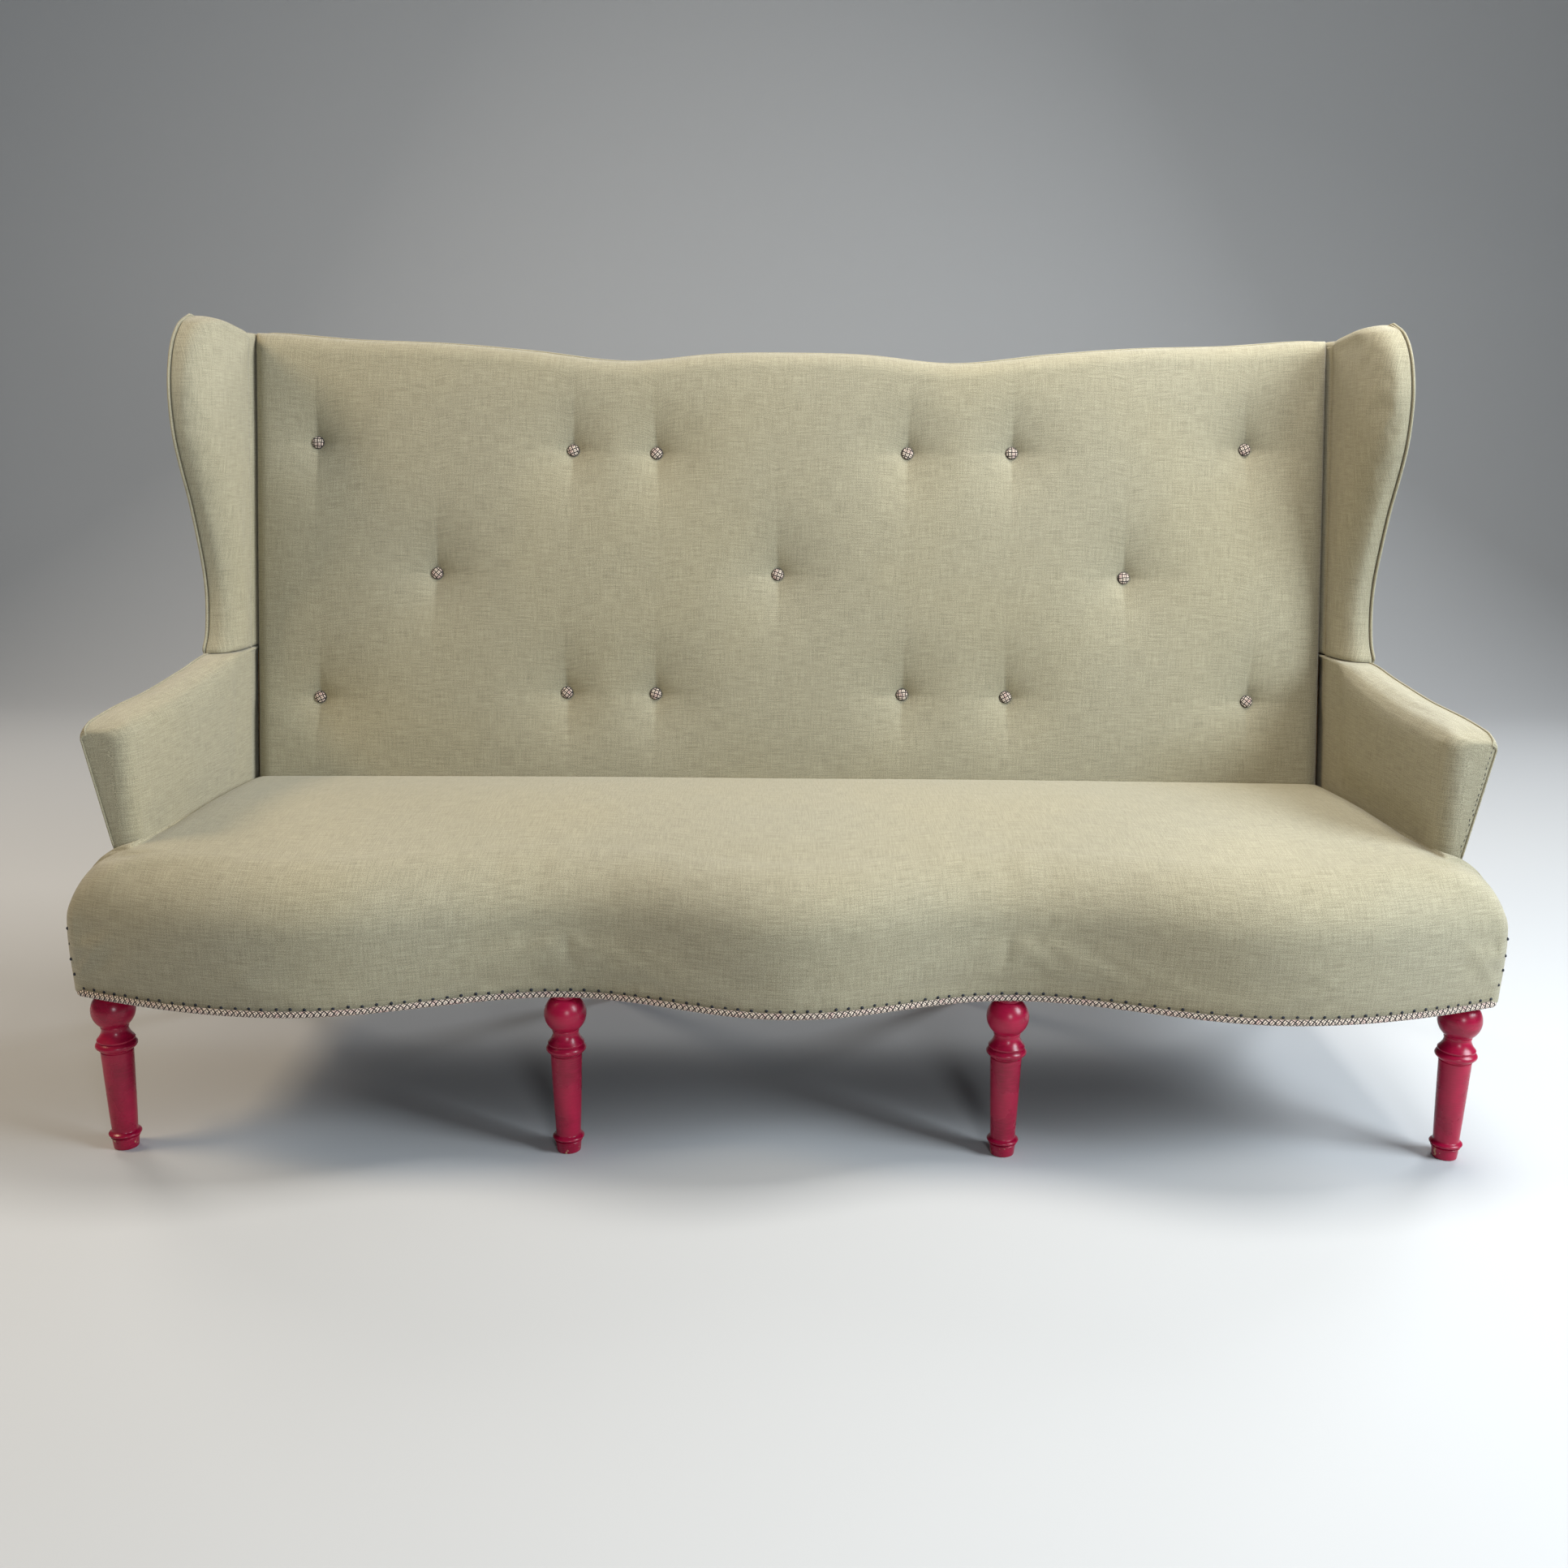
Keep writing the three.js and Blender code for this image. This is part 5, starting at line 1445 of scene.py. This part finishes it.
def wing_edge(side, inset, forward):
    """The wing's outer front edge, from the arm up and back along its top."""
    path = []
    for z in np.linspace(SEAM + 0.004, WING_TOP - 0.004, 90):
        y = float(wing_front(z)) + forward
        path.append(sloped(side * (float(wing_outer(y, z)) - inset), y, z))
    top = WING_TOP - 0.0006
    start = path[-1][1] + 0.004
    end = float(back_y(top)) + 0.070
    for share in np.linspace(0, 1, 30):
        y = start + (end - start) * share
        path.append(sloped(side * (float(wing_outer(y, top)) - inset - 0.003), y, top))
    return path


def arm_edge(side, inset, forward):
    """The arm's outer seam: up the front, round the corner and back along the top to the wing."""
    path = []
    low_edge = eased_top(ARM_FRONT) - COVER_EDGE
    for z in np.linspace(DECK + 0.10, low_edge, 40):
        path.append((side * (arm_outer(ARM_FRONT, z) - inset), ARM_FRONT + forward, z))
    reach = COVER_EDGE - inset
    for turn in run_of(0, math.pi / 2, 4):
        x = arm_outer(ARM_FRONT, low_edge) - COVER_EDGE + reach * math.cos(turn)
        path.append((side * x, ARM_FRONT + forward, low_edge + reach * math.sin(turn)))
    ys = run_of(ARM_FRONT, ARM_FRONT + ARM_ROUND, 8)
    ys += run_of(ARM_FRONT + ARM_ROUND, ARM_BACK_START + 0.004, 60)
    for y in ys:
        top = eased_top(y)
        x = arm_outer(y, top - COVER_EDGE) - COVER_EDGE + inset
        path.append((side * x, y, top + 0.0004))
    return path


class SETTEE_OT_welts(bpy.types.Operator):
    """Makes the thin linen welts of the crest, the wings and the arms"""

    bl_idname = "settee.welts"
    bl_label = "Welts"

    def execute(self, context):
        sizes = context.scene.settee_sizes
        radius = sizes.welt_radius
        crest = [(x, float(back_y(crest_z(x))) + 0.0765, float(crest_z(x)) + 0.0017)
                 for x in np.linspace(-HALF_BACK + 0.002, HALF_BACK - 0.002, 240)]
        self.make("crest_welt", crest, radius)
        for name, side in SIDES.items():
            self.make(f"wing_welt_{name}", wing_edge(side, 0.0004, -0.0006), radius)
            self.make(f"arm_welt_{name}", arm_edge(side, 0.0012, 0.0002), radius * 0.75)
        return {"FINISHED"}

    def make(self, name, path, radius):
        piece = tube(name, path, radius, sides=8)
        piece.data.shade_smooth()
        give(piece, linen_material())
        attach(piece, "root")


class SETTEE_OT_stitches(bpy.types.Operator):
    """Sews the hand stitches down the right arm's front edge"""

    bl_idname = "settee.stitches"
    bl_label = "Stitches"

    def execute(self, context):
        sizes = context.scene.settee_sizes
        tree = row_tree("Stitch row", 6, (0.18, 0.24, 1.0))
        path = [(arm_outer(ARM_FRONT, z) - 0.0062, ARM_FRONT - 0.0001, z)
                for z in np.linspace(DECK + 0.11, arm_top(ARM_FRONT) - 0.014, 40)]
        piece = make_row("arm_stitches", tree, [path], sizes.stitch_length * 1.7, sizes.stitch_length / 2,
                         nail_material(), 4)
        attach(piece, "root")
        return {"FINISHED"}


# Buttons

def turned_faces(rows, around):
    """The faces between rows of points that each go once round."""
    faces = []
    for i in range(rows - 1):
        for k in range(around):
            m = (k + 1) % around
            faces.append((i * around + k, i * around + m, (i + 1) * around + m, (i + 1) * around + k))
    return faces


class SETTEE_OT_buttons(bpy.types.Operator):
    """Makes the covered buttons, each with its cloth turned its own way"""

    bl_idname = "settee.buttons"
    bl_label = "Buttons"

    def execute(self, context):
        sizes = context.scene.settee_sizes
        lean = math.atan(RAKE)
        for n, node in enumerate(BUTTON_NODES):
            low, high = (Vector(corner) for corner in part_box(node))
            centre = (low + high) / 2
            piece = self.button(node, sizes.button_radius, n)
            turn = Matrix.Translation(centre) @ Matrix.Rotation(-lean, 4, "X")
            piece.data.transform(turn)
            piece.data.update()
            piece.data.shade_smooth()
            give(piece, finished_material("button_check", check_finish, 0.0))
            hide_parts(node)
            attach(piece, "root")
        return {"FINISHED"}

    def button(self, node, radius, n):
        """A domed button facing -Y about the origin, its cloth gathered at the rim."""
        rings = 9
        around = 36
        profile = []
        for share in np.linspace(0.02, 1, rings):
            turn = share * math.pi / 2
            profile.append((radius * math.sin(turn), 0.0002 - 0.0040 * math.cos(turn) ** 1.1))
        profile += [(radius, 0.0012), (radius * 0.93, 0.0022), (radius * 0.6, 0.0029)]
        spin = n * 1.17
        points = []
        for r, y in profile:
            for k in range(around):
                a = 2 * math.pi * k / around
                tuck = 1 + (0.012 * math.sin(a * 9 + n) if r > radius * 0.85 else 0)
                points.append((r * tuck * math.cos(a), y - AXIS_Y, r * tuck * math.sin(a)))

        def cloth(i, k):
            r = profile[i][0] + (0.004 * (i - rings + 1) if i >= rings else 0)
            a = 2 * math.pi * k / around + spin
            return (r * math.cos(a) + 0.0013 * n, r * math.sin(a))

        faces = turned_faces(len(profile), around)
        uvs = []
        for i in range(len(profile) - 1):
            for k in range(around):
                uvs.append([cloth(i, k), cloth(i, k + 1), cloth(i + 1, k + 1), cloth(i + 1, k)])
        for i, order in ((0, range(around)), (len(profile) - 1, range(around - 1, -1, -1))):
            faces.append(tuple(i * around + k for k in order))
            uvs.append([cloth(i, k) for k in order])
        piece = plain_mesh(node.replace("button", "covered_button"), points, faces, uvs)
        # The rim attribute is painted shade: it darkens the button's check towards the rim, in place of the
        # shadow where the cloth turns under
        rim = piece.data.attributes.new("rim", "FLOAT", "POINT")
        for vert, value in zip(piece.data.vertices, rim.data):
            value.value = float(smooth_step(0.84, 0.97, math.hypot(vert.co.x, vert.co.z) / radius))
        turn_outwards(piece)
        return piece


# Legs

def bead(base, crown, low, height, count):
    """A half-round swelling of a turned outline, without its first point."""
    return [(base + (crown - base) * math.sin(math.pi * share), low + height * share)
            for share in run_of(0, 1, count)]


def leg_profile():
    """The turned leg's outline, radius and height, from the foot to the top ring."""
    points = [(0.0, 0.0), (0.0160, 0.0), (0.0172, 0.0007), (0.0176, 0.0020), (0.0182, 0.0090)]
    points.append((0.0188, 0.0160))
    points += bead(0.0186, 0.0204, 0.0160, 0.0026, 6)
    points += bead(0.0186, 0.0230, 0.0186, 0.0080, 10)
    points += [(0.0182, 0.0272), (0.0180, 0.0296)]
    for share in np.linspace(0, 1, 12)[1:]:
        points.append((0.0180 + 0.0046 * share ** 0.85, 0.0296 + (0.1495 - 0.0296) * share))
    points += [(0.0226, 0.1510), (0.0216, 0.1520), (0.0216, 0.1530), (0.0238, 0.1545)]
    points += bead(0.0245, 0.0290, 0.1545, 0.0125, 10)
    points += [(0.0245, 0.1672), (0.0260, 0.1680), (0.0262, 0.1700), (0.0256, 0.1708)]
    for share in np.linspace(0, 1, 8)[1:]:
        points.append((0.0182 + 0.0071 * (1 - share) ** 1.8, 0.171 + 0.0150 * share))
    points += [(0.0190, 0.1865), (0.0194, 0.1878), (0.0190, 0.1890)]
    ball_level = 0.214
    ball_radius = 0.0305
    low = -math.acos(0.0188 / ball_radius)
    high = math.asin((0.2384 - ball_level) / ball_radius)
    for share in np.linspace(0, 1, 22):
        turn = low + (high - low) * share
        points.append((ball_radius * math.cos(turn), ball_level + ball_radius * math.sin(turn)))
    points += [(0.0172, 0.2385), (0.0176, 0.2395), (0.0176, 0.2418), (0.0170, 0.2430), (0.0055, 0.2430),
               (0.0055, 0.3020), (0.0048, 0.3030), (0.0, 0.3030)]
    return points


def turned_leg(name, x):
    around = 48
    profile = leg_profile()
    points = []
    for r, z in profile:
        radius = max(r, 1e-5)
        points += [(x + radius * math.cos(a), radius * math.sin(a), z)
                   for a in np.linspace(0, 2 * math.pi, around, endpoint=False)]
    piece = plain_mesh(name, points, turned_faces(len(profile), around))
    bm = bmesh.new()
    bm.from_mesh(piece.data)
    bmesh.ops.remove_doubles(bm, verts=bm.verts, dist=2e-5)
    bm.to_mesh(piece.data)
    bm.free()
    turn_outwards(piece)
    return piece


def raked_leg(name, node):
    """A square tapered rear leg with eased edges, in the place of its node."""
    low, high = (Vector(corner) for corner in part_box(node))
    x = (low.x + high.x) / 2
    top_y = low.y + 0.017
    foot_y = high.y - 0.012
    corners = []
    for z, y, half in ((0.0, foot_y, 0.012), (LEG_TOP, top_y, 0.017)):
        corners += [(x - half, y - half, z), (x + half, y - half, z)]
        corners += [(x + half, y + half, z), (x - half, y + half, z)]
    faces = [(0, 1, 5, 4), (1, 2, 6, 5), (2, 3, 7, 6), (3, 0, 4, 7), (3, 2, 1, 0), (4, 5, 6, 7)]
    piece = plain_mesh(name, [(px, py - AXIS_Y, z) for px, py, z in corners], faces)
    bm = bmesh.new()
    bm.from_mesh(piece.data)
    bmesh.ops.bevel(bm, geom=list(bm.edges), offset=0.0022, segments=3, affect="EDGES", profile=0.5)
    bmesh.ops.recalc_face_normals(bm, faces=bm.faces)
    bm.to_mesh(piece.data)
    bm.free()
    return piece


class SETTEE_OT_legs(bpy.types.Operator):
    """Makes the turned front legs and the raked rear legs"""

    bl_idname = "settee.legs"
    bl_label = "Legs"

    def execute(self, context):
        for place in ("outer_left", "inner_left", "inner_right", "outer_right"):
            node = f"front_leg_{place}"
            low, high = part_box(node)
            piece = turned_leg(f"turned_leg_{place}", (low[0] + high[0]) / 2)
            self.finish(piece, node)
            node = f"rear_leg_{place}"
            piece = raked_leg(f"raked_leg_{place}", node)
            self.finish(piece, node)
        return {"FINISHED"}

    def finish(self, piece, node):
        shade(piece, 38)
        give(piece, finished_material("crimson_leg_paint", paint_finish))
        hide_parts(node)
        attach(piece, "root")


# Frame and underside

class SETTEE_OT_frame(bpy.types.Operator):
    """Finishes the hidden frame, the webbing and the dust cover"""

    bl_idname = "settee.frame"
    bl_label = "Frame"

    def execute(self, context):
        slots = {entry["node"]: entry["material_slot"] for entry in frame["record"]["subparts"]}
        finishes = {
            "frame_wood": finished_material("bare_beech", beech_finish),
            "jute_webbing": finished_material("jute_straps", coarse_cloth_finish, "jute", 0.0022),
        }
        for name, node in frame["nodes"].items():
            material = finishes.get(slots.get(name))
            if material is None:
                continue
            for place in node.material_slots:
                place.material = material
        self.dust_cover()
        return {"FINISHED"}

    def dust_cover(self):
        """Black cambric under the seat, cut finer and let sag a little."""
        node = frame["nodes"]["dust_cover"]
        piece = linked("cambric_cover", node.data.copy())
        bm = bmesh.new()
        bm.from_mesh(piece.data)
        bmesh.ops.remove_doubles(bm, verts=bm.verts, dist=1e-5)
        for _ in range(4):
            long_edges = [e for e in bm.edges if e.calc_length() > 0.06]
            if not long_edges:
                break
            bmesh.ops.subdivide_edges(bm, edges=long_edges, cuts=1)
            bmesh.ops.triangulate(bm, faces=bm.faces)
        low = Vector(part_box("dust_cover")[0])
        high = Vector(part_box("dust_cover")[1])
        for vert in bm.verts:
            across = (vert.co.x - low.x) / (high.x - low.x)
            deep = (vert.co.y - low.y) / (high.y - low.y)
            sag = math.sin(math.pi * min(1, max(0, across))) * math.sin(math.pi * min(1, max(0, deep)))
            vert.co.z -= 0.006 * sag * sag
        bmesh.ops.recalc_face_normals(bm, faces=bm.faces)
        bm.to_mesh(piece.data)
        bm.free()
        shade(piece, 40)
        cambric = finished_material("black_cambric", coarse_cloth_finish, "cambric", 0.0012)
        give(piece, cambric)
        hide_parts("dust_cover")
        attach(piece, "root")


# Stage

class SETTEE_OT_stage(bpy.types.Operator):
    """Sets the pale floor, the soft light and the camera"""

    bl_idname = "settee.stage"
    bl_label = "Stage"

    def execute(self, context):
        self.floor()
        self.lights(context)
        self.camera(context, context.scene.settee_sizes)
        context.scene.view_settings.view_transform = "Standard"
        return {"FINISHED"}

    def floor(self):
        mesh = bpy.data.meshes.new("floor")
        deep, wide, rise, bend = 3.2, 9.0, 5.0, 1.6
        line = [(-6.0, 0.0), (deep, 0.0)]
        for turn in np.linspace(0, math.pi / 2, 14)[1:]:
            line.append((deep + bend * math.sin(turn), bend * (1 - math.cos(turn))))
        line.append((deep + bend, rise))
        points = [(x, y, z) for x in (-wide, wide) for y, z in line]
        count = len(line)
        faces = [(i, i + count, i + count + 1, i + 1) for i in range(count - 1)]
        mesh.from_pydata(points, [], faces)
        mesh.update()
        floor = linked("floor", mesh)
        floor.data.shade_smooth()
        floor.data.materials.append(finished_material("pale_floor", floor_finish))

    def lights(self, context):
        world = bpy.data.worlds.new("soft_room")
        context.scene.world = world
        world.use_nodes = True
        background = world.node_tree.nodes["Background"]
        background.inputs["Color"].default_value = (0.93, 0.96, 1.0, 1.0)
        background.inputs["Strength"].default_value = 0.11
        self.lamp("window", (2.7, -1.35, 2.05), (0.3, 0.1, 0.6), 1.4, 112, (0.84, 0.93, 1.0))
        self.lamp("ceiling", (1.0, 0.1, 3.0), (0.0, 0.0, 0.3), 1.0, 66, (1.0, 0.96, 0.90))
        self.lamp("lamp", (-2.6, -0.5, 2.6), (-0.6, 0.1, 0.6), 0.8, 36, (1.0, 0.78, 0.50))
        self.lamp("front", (0.7, -3.5, 1.2), (0.0, 0.0, 0.3), 0.6, 26, (0.92, 0.96, 1.0))
        self.lamp("rear_right", (3.2, 2.4, 2.6), (0.3, 0.4, 0.7), 1.2, 60, (0.92, 0.96, 1.0))
        self.lamp("rear_left", (-3.2, 2.4, 2.6), (-0.3, 0.4, 0.7), 1.2, 40, (1.0, 0.92, 0.82))

    def lamp(self, name, place, aim, size, power, tint):
        light = bpy.data.lights.new(name, "AREA")
        light.shape = "SQUARE"
        light.size = size
        light.energy = power
        light.color = tint
        lamp = linked(name, light)
        lamp.location = place
        lamp.rotation_euler = (Vector(aim) - Vector(place)).to_track_quat("-Z", "Y").to_euler()

    def camera(self, context, sizes):
        data = bpy.data.cameras.new("viewpoint")
        data.sensor_width = 36
        data.lens = sizes.lens
        camera = linked("viewpoint", data)
        level = Matrix.Rotation(math.pi / 2 - sizes.camera_pitch, 4, "X")
        turn = level @ Matrix.Rotation(sizes.camera_roll, 4, "Z")
        place = (sizes.camera_across, AXIS_Y - sizes.camera_distance, sizes.camera_height)
        camera.matrix_world = Matrix.Translation(place) @ turn
        context.scene.camera = camera


class SETTEE_PT_panel(bpy.types.Panel):
    """Lists the settee's sizes, colours and pieces"""

    bl_label = "Settee"
    bl_idname = "SETTEE_PT_panel"
    bl_space_type = "VIEW_3D"
    bl_region_type = "UI"
    bl_category = "Settee"

    def draw(self, context):
        layout = self.layout
        for group in (context.scene.settee_sizes, context.scene.settee_colours):
            box = layout.box()
            for name in group.__annotations__:
                box.prop(group, name)
        for operator in OPERATORS:
            layout.operator(operator.bl_idname)


OPERATORS = (
    SETTEE_OT_stage,
    SETTEE_OT_seat,
    SETTEE_OT_back,
    SETTEE_OT_arms,
    SETTEE_OT_wings,
    SETTEE_OT_outside_covers,
    SETTEE_OT_welts,
    SETTEE_OT_piping,
    SETTEE_OT_nails,
    SETTEE_OT_stitches,
    SETTEE_OT_buttons,
    SETTEE_OT_legs,
    SETTEE_OT_frame,
)
CLASSES = (SetteeSizes, SetteeColours) + OPERATORS + (SETTEE_PT_panel,)


def register():
    for cls in CLASSES:
        bpy.utils.register_class(cls)
    bpy.types.Scene.settee_sizes = PointerProperty(type=SetteeSizes)
    bpy.types.Scene.settee_colours = PointerProperty(type=SetteeColours)


def unregister():
    del bpy.types.Scene.settee_sizes
    del bpy.types.Scene.settee_colours
    for cls in reversed(CLASSES):
        bpy.utils.unregister_class(cls)


def main():
    register()
    for operator in OPERATORS:
        group, name = operator.bl_idname.split(".")
        getattr(getattr(bpy.ops, group), name)()


if __name__ == "__main__":
    main()
